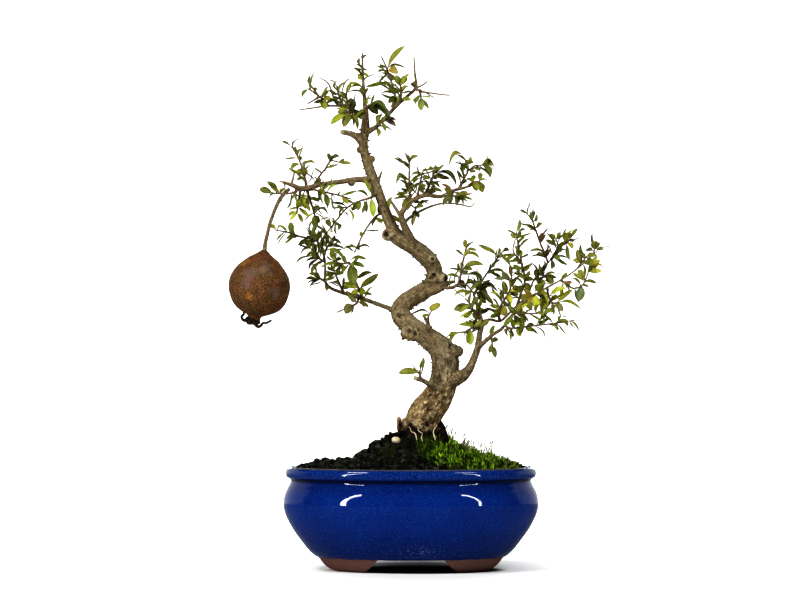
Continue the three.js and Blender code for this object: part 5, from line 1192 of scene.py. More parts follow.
# What grew: a line with one word names the piece; limb and twig lines give x, y, z and radius of each joint,
# knob lines x, y, z and size, leaf lines for each leaf the x and z of its foot and of its tip, the width seen
# from the front and how much it arches, if it does; + goes on with the line before.
branches = """
fruit_branch
limb -31 -1.4 312 2.4, -43 -5.8 312 2.2, -57 -10.2 310 2, -73 -14.5 307.6 1.9, -82 -15.9 305 2.3
+ -88 -17.4 304.6 2, -95 -18.8 307.4 1.6, -101 -18.8 309.4 1.1
limb -95 -18.8 307.5 0.9, -92.8 -17.4 317.5 0.7
limb -70 -14.5 308 0.7, -76.5 -20.3 313.5 0.5
limb -71 -13 307.5 0.7, -69.6 -18.8 303.6 0.5
knob -47.5 -7.2 309.4 2.9
twig -91 -18 305.6 0.9, -92.4 -26 301.6 0.7, -98 -29 300.2 0.6, -105 -30 300.2 0.5, -111.5 -32 299.8 0.3
leaf -111 300 -120 304 4.6 0.6, -110 300 -118 306 2.4, -104 300 -112 308 3.2 -0.6, -104 300 -101 305 2.2
lower_left_branch
limb -8 11.6 205.5 1.9, -16 15.9 208.6 1.8, -24.7 17.4 211.8 1.7, -40.7 20.3 217.4 1.6, -56.7 24.6 222.2 1.4
+ -66 27.6 226.4 1.2, -69 29 231 1.1, -69 29 241 0.9, -69.5 26.1 250 0.8, -71 23.2 258 0.7, -72 20.3 267 0.5
twig -70 26 252 0.9, -68 32 257.4 0.7, -66 36 261 0.5
twig -68.8 29 230.4 0.8, -72 20 232.6 0.7, -76 14 233 0.5
twig -42 20 217.8 0.8, -43.6 12 213 0.7, -49 7 210.4 0.6, -59 3 206 0.4
leaf -67 259 -61 268 3 0.4, -68 257 -72 277 2.6, -66 261 -56 261 1.6 2.4, -67 259 -53 257 2 2.6
+ -66 261 -69 270 3.2, -67 258 -73 263 2.6, -73 233 -82 237 2.4 0.6, -75 233 -85 232 2.2 0.8
+ -72 232 -75 238 1.8, -73 233 -77 236 3, -71 232 -65 238 2.4, -46 212 -53 205 7 1.4
+ -43 215 -34 210 2.8 0.6, -43 214 -48 217 4, -44 213 -52 223 4 0.4, -73 233 -81 228 1.2 0.5
+ -69 230 -68 223 2.8 0.6
middle_right_branch
limb 1 -7.2 260 3.4, -2.6 -13 269 3, -6 -17.4 277 2.7, -7.6 -20.3 284 2.3, -3 -23.2 291 2, 4 -26.1 296.5 1.9
+ 11.5 -27.6 299 1.7, 24 -29 298 1.5, 33 -30.4 302.4 1.3, 44 -31.9 305.4 1, 53 -33.4 309 0.6
limb -8 -19.6 282 1.4, -12.7 -17.4 289.4 1.2, -17.2 -14.5 296 1
twig 46 -32 306.2 0.9, 49 -38 309 0.7, 54 -42 309.4 0.5
twig 5 -26 297 1, 6 -30 303 0.7, 8 -33 312 0.6, 9.4 -35 319 0.3
leaf 54 309 55 316 3.8, 54 309 57 301 5.8 0.4, 49 309 54 303 4.4 0.8, 49 309 50 315 3.6, 8 312 14 311 2.2 1
+ 8 314 12 317 2 0.6, 6 305 12 306 2 0.6, 54 309 62 311 1.4 0.3, 8 312 2 308 1.4 1, 7 308 2 303 1.4 0.8
+ 48 308 52 302 3 0.6
middle_right_twig
limb -6 -17.4 277 1.3, 1 -11.6 283 1.1, 9 -7.2 287.5 1, 18 -4.3 291.3 0.8, 27 -1.4 293.2 0.7
+ 40 1.4 292.2 0.6, 48 2.9 290.6 0.5, 51 4.3 293.6 0.4
twig 3 -11 284 0.9, 3.6 -16 287 0.7, 3.4 -19 290 0.5
leaf 4 289 10 290 2.4 1, 4 288 2 280 4.2, 4 287 6 281 2.8, 4 287 1 275 3 0.4, 3 289 14 292 1.4 2.4
lower_right_branch
limb 27 -8.7 150 5, 37.7 -13 154 4.9, 43.3 -17.4 157.4 4, 47.3 -21.8 163 3.2, 50.6 -24.6 171 2.8
+ 53 -26.1 178 2.6, 54.5 -21.8 188 2.2, 56 -17.4 196 2.1, 54.5 -13 206 1.4, 51.6 -8.7 215 1.1
+ 50 -5.8 222 0.8
limb 53 -26.1 178 2, 58.5 -31.9 183 1.7, 64.9 -37.7 188.6 1.5, 71.3 -40.6 192.8 1.3, 76 -40.6 198.4 1
+ 83.3 -39.1 207.8 0.9, 95.3 -34.8 218 0.8, 107.3 -30.4 225.4 0.8, 119.3 -26.1 231.8 0.7
+ 131.3 -21.8 240 0.6, 143.3 -17.4 250.4 0.5, 151 -14.5 257 0.4, 161 -13 259 0.3
limb 56 -17.4 198.5 1.2, 63 -11.6 200.2 1.1, 71.3 -4.3 199 1, 79 2.9 205.5 1, 86 8.7 212 0.9, 93 13 219 0.8
+ 99 17.4 232 0.7, 104 20.3 239 0.6, 112 23.2 247.5 0.6, 119 26.1 254 0.5, 125 29 264 0.4, 134 31.9 273.5 0.3
twig 146 -16 252.6 0.6, 146 -10 255 0.5, 148 -7 258 0.3
twig 122.6 28 260.2 0.6, 126 23 262 0.5, 128 19 265 0.3
twig 63 -36 186.6 0.9, 64 -41 183 0.6, 64.6 -42 178 0.4
twig 95 -35 217.6 0.8, 97 -41 220 0.6, 102 -45 222 0.5
leaf 146 256 145 263 4.6, 147 257 148 263 3.2, 147 257 153 256 3 0.6, 146 255 140 256 2.8 0.5
+ 125 262 125 270 4.6, 127 264 132 265 1.6, 128 264 128 270 3, 125 262 128 248 3.4 0.6
+ 128 265 134 273 2.4 0.8, 64 180 67 170 4 0.2, 64 182 62 174 3.4, 64 183 69 185 3.4 0.4
+ 97 220 89 218 3.8 0.8, 99 221 105 217 3.8 1.4, 98 221 99 209 6.4, 101 222 105 229 3.4 0.4, 97 220 92 214 4
+ 102 222 108 221 2.6 0.6, 126 262 130 257 3 0.6, 147 256 151 262 3.4 0.6, 101 221 98 228 3.1 0.6
+ 63 187 66 196 3.1 0.6
crown_right_branch
limb -36 2.9 350 2, -28.7 -1.4 353.6 1.7, -23 -4.3 359 1.5, -16.7 -7.2 365.4 1.5, -8.7 -11.6 373.4 1.4
+ -0.7 -14.5 380 1.2, 4 -15.9 385.2 1.2, 3.2 -15.9 396 0.8, 2.4 -15.9 409 0.6
limb 4 -15.9 383.6 1, 10 -18.8 381.6 0.7, 20 -21.8 379.8 0.6, 30.6 -24.6 378.4 0.5
limb 5 -15.9 385 0.7, 9 -13 387 0.6, 13 -11.6 390 0.5
knob 2 -15.9 387.6 2.2
twig 7 -17 382.6 0.9, 7.6 -23 379 0.7, 8 -26 376 0.4
leaf 8 377 8 366 5.4, 8 379 3 372 2.6 1, 8 378 15 376 1.4 0.4
crown_left_branch
limb -36.5 1.4 362 1.6, -42 5.8 366 1.4, -48.7 8.7 369.2 1.3, -54 11.6 371.2 1.2, -60 14.5 374 0.9
+ -62.5 15.9 379.5 0.8, -64.5 17.4 386 0.7, -67 18.8 390.6 0.6, -73 20.3 394.6 0.4
limb -54 11.6 371.2 1, -62 10.2 371.6 0.8, -72 7.2 370.8 0.7, -80 4.3 369.4 0.6, -89 1.4 368 0.5
twig -54.6 12 371.6 0.9, -57 19 378 0.8, -59 25 384 0.5
leaf -62 380 -66 384 2.5, -58 381 -60 387 1.6, -57 378 -63 377 2.8, -58 382 -61 390 1.4 0.4
+ -57 378 -48 394 1 1.5
"""
shoots = """
leader_shoot
twig -36.4 0 368 1.4, -37.2 0 378 1.3, -38 1 388 1, -38.6 1 399 0.8, -38.8 3 413 0.5
twig -36.8 0 373 1, -36 -12 369 0.8, -33.5 -20 371 0.5
leaf -38 396 -42 392 4.2, -39 401 -41 410 1.8 -1.5, -38 384 -48 386 1.6 1.6, -37 379 -35 386 2.4
+ -34 370 -16 360 5 2.2, -34 370 -26 364 4.6 0.8, -37 366 -42 362 4.6 0.4, -37 362 -36 357 2.6
+ -33 371 -19 366 4 3.2, -39 399 -47 400 1.2 1.4, -38 398 -34 394 1.3, -39 400 -34 400 1 0.3
+ -37 375 -50 382 1.4 3, -33 371 -29 380 1.4, -37 379 -41 385 3.3 0.6, -34 370 -29 365 3 0.6
crown_left_outer_shoot
twig -66 9 371.3 0.6, -69.5 3 376 0.7, -74 -3 379 0.6, -81.5 -7 384.5 0.5
twig -74 -3 379 0.6, -80.6 3 388.5 0.4
twig -73 -2 378.4 0.6, -82 -12 372.4 0.4
leaf -71 378 -68 368 5.6, -71 379 -66 384 3.4 0.4, -70 377 -64 377 3 0.5, -81 384 -86 376 2.2 2.6
+ -72 380 -66 386 2.2, -68 373 -62 377 3.3 0.6
crown_left_low_shoot
twig -46 8 368 1, -47.5 -1 366.4 0.8, -50 -9 366 0.6, -54 -13 366 0.4
twig -47.5 -1 366.4 0.8, -50 -4 372 0.7, -51.5 -7 379 0.6, -51 -10 384 0.4
leaf -48 366 -64 356 5 2.6, -49 366 -54 354 6 0.3, -48 366 -51 357 4, -50 367 -59 366 4 1, -48 366 -42 357 3
+ -47 366 -46 377 5.5, -46 366 -38 360 3.6 0.6, -52 380 -48 389 3.2, -51 377 -56 381 2, -51 374 -46 376 4.5
+ -48 366 -43 352 2.7 0.6
crown_middle_shoot
twig -10.5 -10 371.6 1, -12.5 -4 378 0.8, -14 0 385 0.7, -16.5 4 393 0.6, -19 7 401 0.4
twig -19 7 401 0.5, -23.5 12 411 0.4
leaf -18 401 -5 419 4.2 1.6, -18 402 -4 402 2.2 1.8, -18 400 -10 397 6 2, -18 399 -12 393 5 -1.6
+ -20 400 -26 398 1.8 1, -19 399 -26 389 1.8, -14 386 -36 386 3 3.6, -13 380 -24 381 2 2
+ -13 378 -18 373 4 0.2, -12 376 -16 370 3, -20 401 -25 404 1 0.4
crown_right_leaf_shoot
twig -8.2 -12 373.8 0.9, -8 -20 379 0.7, -8 -25 384 0.6, -9 -28 388 0.4
leaf -8 385 -12 394 5, -8 386 -4 394 5, -9 388 -2 394 1.6 0.6, -8 381 2 381 1.2 0.4, -8 375 0 375 2.9 0.6
crown_low_right_shoot
twig -28 -2 354.2 1, -25 -12 356 0.8, -21 -17 358.4 0.5
leaf -27 354 -26 346 3 0.5, -23 357 -20 351 2.4 0.6, -21 358 -12 354 3.6 1.6, -21 359 -16 362 2.6
+ -24 357 -20 362 4
fruit_branch_upright_shoot
twig -83 -16 305 1, -84.4 -12 312 0.8, -86.6 -7 320 0.7, -88.6 -4 326 0.6, -92 -1 333 0.5, -95.5 0 338.4 0.3
leaf -93 334 -92 338 2.2, -89 326 -90 332 1.6, -88 324 -96 319 3.2 1.8, -87 322 -89 316 3.2
+ -85 315 -83 320 3.4, -88 323 -78 328 1.6 2, -87 322 -76 325 2 2, -85 313 -86 320 3, -95 338 -103 342 1.4 1
+ -95 337 -90 345 1.2 0.8, -84 310 -91 311 1.4 1
fruit_branch_back_shoot
twig -77 -15 306.8 0.9, -75 -6 311.5 0.7, -71.6 3 317 0.6, -68.8 9 320.6 0.6, -64 13 327.5 0.5
+ -57 16 326.3 0.3
leaf -64 328 -67 333 2.8, -64 328 -63 332 2.8, -57 326 -48 325 2.6 -0.4, -58 326 -54 330 1.2
+ -69 321 -60 324 1.4 0.8, -72 317 -77 322 1.4 1
fruit_branch_hanging_shoot
twig -88 -17 304.6 1, -88.6 -20 299 0.8, -90 -23 292 0.7, -90.6 -25 284.6 0.4
leaf -90 288 -96 279 2.6, -91 285 -86 278 2.8 0.3, -90 290 -81 282 3 0.4, -89 298 -81 292 3.8 0.5
+ -89 297 -91 290 3 -0.6, -89 296 -88 290 2.6, -90 290 -80 286 1.4 1.6, -89 299 -93 297 1.4 0.3
fruit_branch_inner_shoot
twig -83 -16 304.6 1, -81 -7 297 0.8, -78.6 -1 289.6 0.7, -76.6 3 282 0.6, -74.8 6 275.6 0.4
leaf -77 284 -77 274 4.6, -77 283 -73 278 3 0.4, -77 286 -66 284 2 3.4, -78 287 -76 292 2, -77 286 -73 291 2
+ -78 288 -68 290 1.2 0.5, -75 276 -74 283 3.1 0.6
fruit_branch_long_shoot
twig -79 -16 306 0.8, -76 -22 303.4 0.6, -68 -25 301.4 0.6, -58 -23 299.2 0.5, -47 -20 296 0.3
leaf -69 301 -66 290 4.6 0.4, -69 302 -73 300 3.4 0.6, -55 299 -50 292 2.8 0.2, -75 303 -74 294 2.2 2
+ -60 299 -56 302 1.2
trunk_left_shoot
twig -26 -5 301 1, -33 -12 297 0.8, -40 -14 295 0.6, -50 -13 290 0.5, -59 -9 280 0.5, -66 -6 271 0.4
+ -70 -6 266 0.3
leaf -64 273 -67 280 4.2, -62 276 -60 280 1.8, -54 286 -59 291 2, -42 295 -47 287 3.8, -41 295 -42 287 3.4
+ -36 296 -39 285 3, -32 298 -30 282 5.2 0.4, -33 297 -45 302 2.2 2.4, -32 298 -31 305 3, -68 269 -66 264 2
+ -60 279 -58 276 1.4, -50 290 -46 288 1 0.2, -30 299 -38 312 3.2 0.6, -38 296 -35 286 3.2 0.6
trunk_left_low_shoot
twig -20 -8 285 0.9, -27 -3 283.4 0.7, -36 1 272.4 0.6, -41 3 263 0.5, -45 4 254 0.4
leaf -45 255 -53 258 2 1.6, -44 256 -32 257 1.8 1.6, -38 269 -41 267 2.6 0.4, -26 284 -31 275 2.6 2
+ -37 271 -25 272 1.2 0.4, -24 284 -18 291 1.4, -20 285 -15 298 3.4 0.6, -25 284 -26 291 3.4 0.6
+ -28 282 -23 277 2.9 0.6, -20 285 -8 277 3.4 0.6
lower_left_top_shoot
twig -71 23 257 0.9, -75 16 262.6 0.7, -81 12 265.4 0.6, -88 7 266.4 0.6, -97 0 269.6 0.5, -108 -6 271.6 0.3
leaf -96 269 -96 278 4.6, -99 270 -106 276 1.8, -89 267 -97 268 3, -79 265 -82 258 3 0.8
+ -77 264 -78 272 2.4, -75 263 -72 271 3, -76 263 -83 269 2 1.6, -82 266 -87 262 1.4, -107 272 -104 275 1
+ -108 272 -114 276 3.2 0.6
lower_left_outer_shoot
twig -69.4 27 247 0.8, -72.6 19 248.4 0.7, -77 13 253 0.6, -81 9 258 0.3
leaf -73 249 -80 256 4.6 -1, -77 253 -77 261 3, -81 257 -87 263 1.6, -81 257 -89 252 1.6 1.2
+ -76 252 -92 245 1.8 3, -74 249 -82 239 2.4 2.4, -72 248 -80 237 3.2 1.6, -81 258 -90 260 1 0.4
lower_left_middle_shoot
twig -54 24 221.4 0.9, -57 16 228 0.8, -60 10 235.4 0.6, -62 7 241 0.4
leaf -60 235 -57 241 3.6, -60 235 -54 238 3.2 0.8, -60 236 -68 231 2.8 0.3, -61 238 -67 243 2.2
+ -62 240 -64 245 1.6, -57 228 -66 229 1.2 1.4, -61 237 -67 235 3.2 0.6, -55 224 -48 228 3.4 0.6
lower_left_inner_shoot
twig -38.6 20 216.6 1.1, -41 10 223 0.9, -44 3 230 0.8, -47 -3 238 0.7, -49 -6 245.6 0.5
twig -49 -6 245.6 0.6, -55 -10 245 0.5, -62 -13 247 0.3
leaf -49 245 -46 228 8.6 0.6, -49 244 -44 234 4.4 1.2, -49 246 -35 248 2.4 2.4, -49 245 -37 242 3.4 1
+ -50 246 -67 256 3.2 3.6, -61 247 -64 256 4.6, -52 245 -54 251 2.6, -41 224 -26 237 5.2 1.2
+ -41 223 -36 222 5.4 0.6, -42 225 -53 229 4.8 0.6, -41 222 -31 220 2 0.4, -60 246 -56 250 1.6
+ -55 245 -54 238 3.3 0.6, -45 232 -31 238 3.3 0.6, -41 223 -48 221 3.3 0.6
middle_right_inner_shoot
twig 0 -25 293.6 1.1, -1 -19 301 0.8, -1.4 -14 311 0.7, -1.2 -12 325 0.4
leaf -1 312 -12 308 3.4 5, -1 311 -1 303 7, -1 312 11 315 2 3, -1 301 -12 300 3.2 0.8, -1 300 -7 288 4.6
+ -1 300 -14 296 2 0.8, -1 302 -8 304 1.4, 0 294 7 294 3.4 0.6, 0 294 -3 287 3.3 0.6
middle_right_top_shoot
twig 11 -28 298.8 1.1, 14 -22 306 0.9, 17.4 -19 314 0.8, 18.6 -17 320 0.5
leaf 18 316 20 323 2.6, 18 318 12 319 1.8 1.8, 18 317 36 306 2.2 5.4, 18 315 28 312 3.8 1.4
+ 18 316 35 309 2 3.6, 17 313 9 311 2.2 0.8, 14 306 23 305 1.6 3, 15 308 20 306 2.4 0.4, 13 304 19 302 1.6
+ 17 313 21 311 1.4 0.6, 18 315 31 312 3.3 0.6, 14 307 25 302 2.6 0.6, 11 299 7 305 3.4 0.6
middle_right_outer_shoot
twig 38 -31 303.8 1, 42 -28 312 0.8, 45.4 -25 319 0.6, 44.6 -23 327 0.4
twig 45.4 -25 319 0.6, 50 -26 320.6 0.5, 57 -29 323.4 0.3
leaf 45 326 30 322 3.2 8, 45 325 40 320 4.8 0.4, 45 326 48 329 1.8, 45 324 50 326 1.8 0.3
+ 56 323 66 322 4.4 3.6, 56 323 63 313 4.6 3, 46 319 51 317 2.4, 51 321 56 315 1.4 1, 50 321 55 319 1.4 0.3
+ 42 312 37 319 1.2
middle_right_under_shoot
twig 33 -30 302.2 1, 33 -38 298.6 0.7, 36 -41 297 0.5
leaf 35 298 45 301 3 0.4, 35 297 41 296 3.6 0.6, 36 297 49 295 2 1, 34 298 38 293 4.6 1.2
+ 33 298 25 293 4.2 0.4, 33 299 24 308 2.8 0.6, 33 299 26 304 3, 33 298 30 292 2.9 0.6
shoulder_shoot
twig 18 4 229 1.4, 30 -3 225.4 1.2, 37.4 -7 228.4 1, 39.6 -9 236 0.8, 40.6 -9 243 0.7, 42.6 -9 251 0.6
+ 44 -9 258 0.3
twig 37.4 -7 228.4 0.8, 44 -12 228 0.7, 49.6 -14 221.6 0.5
leaf 44 257 43 264 2.8, 44 256 50 262 1.6 0.8, 42 251 55 249 2.4 2.4, 42 248 40 242 3 -0.4, 40 239 37 245 2
+ 40 237 30 241 1.6 1.2, 40 238 58 244 4.2 2.2, 39 234 28 235 2.2 2.2, 40 236 56 232 2 2, 42 228 40 232 3
+ 44 228 49 232 4 0.4, 47 225 57 231 3.2 0.6, 48 224 52 227 1.6, 49 222 34 218 2.6 1.8, 44 255 52 255 1.4 2
+ 43 251 34 256 1.4 1, 40 241 49 240 3 0.6, 40 236 46 239 3.2 0.6, 48 223 43 219 3 0.6
lower_right_inner_shoot
twig 55 -14 204 1, 49.6 -20 207 0.8, 47.6 -23 212 0.6, 43 -26 217 0.4
leaf 48 211 34 208 5.8 1, 49 208 42 202 3.2, 49 208 44 201 2.6 0.4, 50 207 55 200 7 0.4, 48 211 53 218 4.2
+ 52 206 57 215 3.4 0.6, 48 211 38 206 3.2 0.6, 55 204 63 209 3.1 0.6
lower_right_low_shoot
twig 55.6 -19 193 1.1, 49 -26 194 0.9, 44 -29 190.8 0.7, 36 -30 189.6 0.5, 28.6 -32 187 0.3
leaf 47 193 47 180 6, 49 194 38 196 2.8 1, 38 190 30 188 2.4 0.4, 48 194 47 200 3, 50 194 56 200 3
+ 50 194 52 201 3.4 0.6, 56 193 62 200 3.3 0.6
lower_right_rear_shoot
twig 50.4 -6 220 0.9, 54 3 226.6 0.7, 58 9 232.6 0.6, 62.6 13 239.4 0.6, 67 16 246 0.5, 70 17 250 0.5
+ 75 20 256 0.3
leaf 70 250 54 260 3.2 2.2, 70 250 71 258 1.8, 64 242 68 245 2 0.3, 63 240 76 237 2.4 2.4
+ 63 239 73 231 2.8 0.4, 58 233 45 236 2.2 2, 57 231 64 227 1.8 1, 55 228 48 230 3.2 0.4
+ 56 230 62 218 3 0.4, 54 227 60 216 4 0.4, 55 228 70 222 1.8 1.4, 52 223 60 213 4.6, 53 225 66 212 4 0.8
lower_right_middle_shoot
twig 71 -5 199.2 1, 70 -13 206 0.9, 73 -19 214 0.8, 78 -23 222 0.7, 80 -25 232 0.5, 79.4 -25 242 0.3
leaf 80 240 70 254 2.6 1.6, 80 240 88 240 2.6 1.6, 80 238 90 232 2.2 1.8, 80 234 79 244 3, 80 230 72 238 4.6
+ 79 225 84 233 3, 77 220 73 231 4.6, 78 222 86 220 5 0.6, 78 222 79 212 4.6, 73 214 64 226 2 0.8
+ 73 214 62 222 2.2 0.8, 72 212 75 203 6 0.3, 71 209 66 204 3.4 0.3, 71 209 63 212 3.2 0.5, 74 216 70 222 3
+ 80 231 66 233 2.9 0.6, 77 221 71 223 3.4 0.6, 73 213 79 211 3.4 0.6, 70 203 63 202 3.1 0.6
lower_right_high_shoot
twig 85.6 8 211.8 1, 87.6 1 220 0.8, 91 -3 230.6 0.7, 88.4 -6 246 0.6, 85.8 -7 258 0.5, 84 -9 270 0.3
twig 88.4 -6 246 0.6, 81.6 -10 255 0.4, 83 -13 264 0.3
leaf 84 269 87 280 2.8 0.3, 84 267 77 272 1.6 0.3, 85 265 79 268 2.2, 86 258 95 265 1.8 0.5
+ 86 258 88 250 4.2, 82 253 70 249 2 1.2, 84 252 76 247 2.6 0.8, 89 243 83 245 1.8 0.6, 91 231 95 239 2.4
+ 91 230 96 223 5, 90 228 85 223 4 0.4, 89 225 97 218 3.8 0.6, 88 222 81 227 4.6 0.4, 88 220 97 208 6 0.6
+ 84 268 91 272 1.4 0.6, 88 250 94 253 1.2 0.3, 91 231 98 232 3.1 0.6
lower_right_tall_shoot
twig 110.4 22 246 0.6, 108 14 252 0.7, 103.6 9 262 0.6, 99.6 3 273 0.5, 96.6 0 280 0.4, 91.6 -3 286.4 0.3
leaf 97 279 95 286 3, 97 279 99 287 3, 99 273 105 277 2.6 0.4, 103 262 106 270 3.6, 108 252 95 255 2 2.8
+ 109 250 110 257 3.6, 109 249 113 257 1.6, 100 272 96 272 1.2 0.3, 110 246 107 239 3.1 0.6
lower_right_crest_shoot
twig 113 24 248.2 0.9, 116 16 254 0.7, 118 12 260 0.5, 116 9 265 0.3
leaf 118 259 108 264 3.2 0.4, 116 264 112 269 2.8, 116 264 120 270 2.8, 117 256 124 263 3
+ 116 253 119 248 3.6, 117 263 109 270 1.4, 117 262 124 268 1.4 0.3, 113 248 114 241 3.3 0.6
+ 114 250 126 244 2.6 0.6
lower_right_olive_shoot
twig 99 17 232 0.6, 103 12 233 0.7, 109 7 235 0.5
leaf 101 233 101 241 5, 103 233 96 246 1.8 0.6, 104 233 103 245 2.4, 104 233 117 234 3.6 1.4
+ 101 232 105 226 3.4, 106 234 107 248 1.6, 106 234 116 237 1.4 1.6, 109 235 115 230 3.4 0.6
lower_right_outer_shoot
twig 119 -26 231.6 0.8, 123 -19 229 0.6, 130 -13 225 0.5, 137 -9 228 0.4, 141 -6 236 0.4, 142.4 -4 243 0.3
leaf 137 228 134 215 7, 136 227 127 233 1.6 1.6, 137 229 148 229 2.2 2.2, 139 231 134 240 4.8 0.4
+ 138 230 129 237 3 0.6, 142 239 151 248 4.8, 141 238 152 239 3.8 0.6, 123 229 127 226 4
+ 142 242 149 251 2.8 0.4, 137 228 143 225 1.2 0.2, 142 243 154 242 1.4 0.6, 120 231 124 238 3 0.6
+ 141 237 144 243 2.9 0.6, 130 225 134 214 3.2 0.6
lower_right_top_shoot
twig 133 -21 241.6 0.6, 135 -28 245 0.6, 139.6 -32 250.6 0.4
leaf 135 245 132 256 4.8, 136 246 131 246 2.4 0.6, 138 249 134 253 4, 139 250 135 260 2.2 -1.6
+ 139 250 144 243 3 0.4, 136 246 143 244 2.8 0.8, 140 251 147 251 3.3 0.6, 135 245 129 248 3.1 0.6
lower_right_belly_shoot
twig 108 -30 225.8 0.8, 109 -36 219 0.7, 112 -39 213.6 0.6, 117 -42 214 0.4
leaf 109 220 103 206 4.4 0.4, 111 215 104 209 4 0.6, 110 217 102 216 2 1.4, 115 213 128 224 3.4 0.6
+ 114 213 120 207 4.8 0.4, 116 214 135 208 2.8 1.8, 109 219 123 225 3.6 2.2, 111 215 123 221 1.8 0.4
+ 113 213 112 206 3, 111 216 117 219 3.4 0.6
lower_right_long_shoot
twig 74.4 -41 195.6 0.7, 78 -48 193.4 0.7, 92 -51 195 0.6, 106 -52 196.6 0.5, 118 -52 198 0.4
+ 129 -52 200 0.3
leaf 113 197 124 199 2.2 1.4, 112 197 103 205 2 0.8, 112 197 115 192 1.6 0.5, 91 195 97 197 2 0.4
+ 90 195 84 203 1.8, 80 194 79 184 2 1, 84 194 86 187 3.6, 100 196 107 200 1.2 0.8, 90 195 94 191 1.4
+ 80 194 80 201 3.2 0.6
lower_right_front_shoot
twig 79.6 -40 203 1, 80.6 -48 204.6 0.8, 84 -52 205.4 0.6, 95 -55 205 0.5, 104 -56 206 0.3
leaf 81 205 73 195 4, 81 205 85 196 4.4 0.4, 83 205 76 211 4, 84 205 89 206 4 0.6, 83 205 87 214 4
+ 85 205 93 199 2.2 0.4, 86 205 86 188 4.2 0.2, 103 206 104 201 3, 104 206 111 208 3.3 0.6
trunk_stub_shoot
twig 8 -26 152.2 1, 7 -29 157 0.7, 7.4 -30 162 0.3
leaf 7 158 -10 158 5.4 1.6, 7 160 10 170 3
trunk_bend_shoot
twig 13.4 -20 198 1, 14 -23 203 0.6, 16 -25 206.4 0.3
leaf 16 206 23 213 4.6 0.6, 15 205 -1 204 1.8 2, 15 205 9 202 2, 16 206 18 213 3 0.6
"""


def readGrowth(table):
    pieces = {}
    for line in table.strip().split("\n"):
        kind, _, text = line.partition(" ")
        if not text:
            pieces[kind] = piece = {"limb": [], "knob": [], "twig": [], "leaf": []}
            continue
        if kind != "+":
            rows = piece[kind]
        if kind in ("limb", "twig"):
            rows.append([])
            rows = rows[-1]
        rows += [[float(value) for value in row.split()] for row in text.split(",")]
    return pieces


def leafTint(middle, pick):
    # the window's colour, otherwise mostly green to olive, each leaf a little different
    def within(left, right, low, high):
        return left <= middle[0] <= right and low <= middle[2] <= high

    name = next((name for name, windows in leafPatches.items()
                 for window in windows if within(*window)), None)
    mix = pick.uniform()
    kinds = ("green", "olive") if mix < 0.72 else ("olive", "lime") if mix < 0.86 else ("dark", "green")
    first, second = (np.array(leafColours[name or kind]) for kind in kinds)
    share = pick.uniform()
    colour = (first * (1 - share) + second * share) * pick.uniform(0.74, 1.42) * pick.uniform(0.92, 1.08, 3)
    return [*colour * (leaf["shade"] if within(*leaf["shaded"]) else 1), pick.uniform()]


def leafFeet(twigs, leaves):
    # each leaf stands on the place of the twigs that looks nearest to its foot
    share = (np.arange(leaf["steps"]) + 0.5) / leaf["steps"]
    places = []
    for twig in twigs:
        joints = np.array(twig)[:, :3]
        spans = joints[:-1, None] + share[None, :, None] * (joints[1:] - joints[:-1])[:, None]
        places.append(spans.reshape(-1, 3))
    places = np.concatenate(places)
    away = np.hypot(places[None, :, 0] - leaves[:, None, 0], places[None, :, 2] - leaves[:, None, 1])
    return places[np.argmin(away, axis=1)]


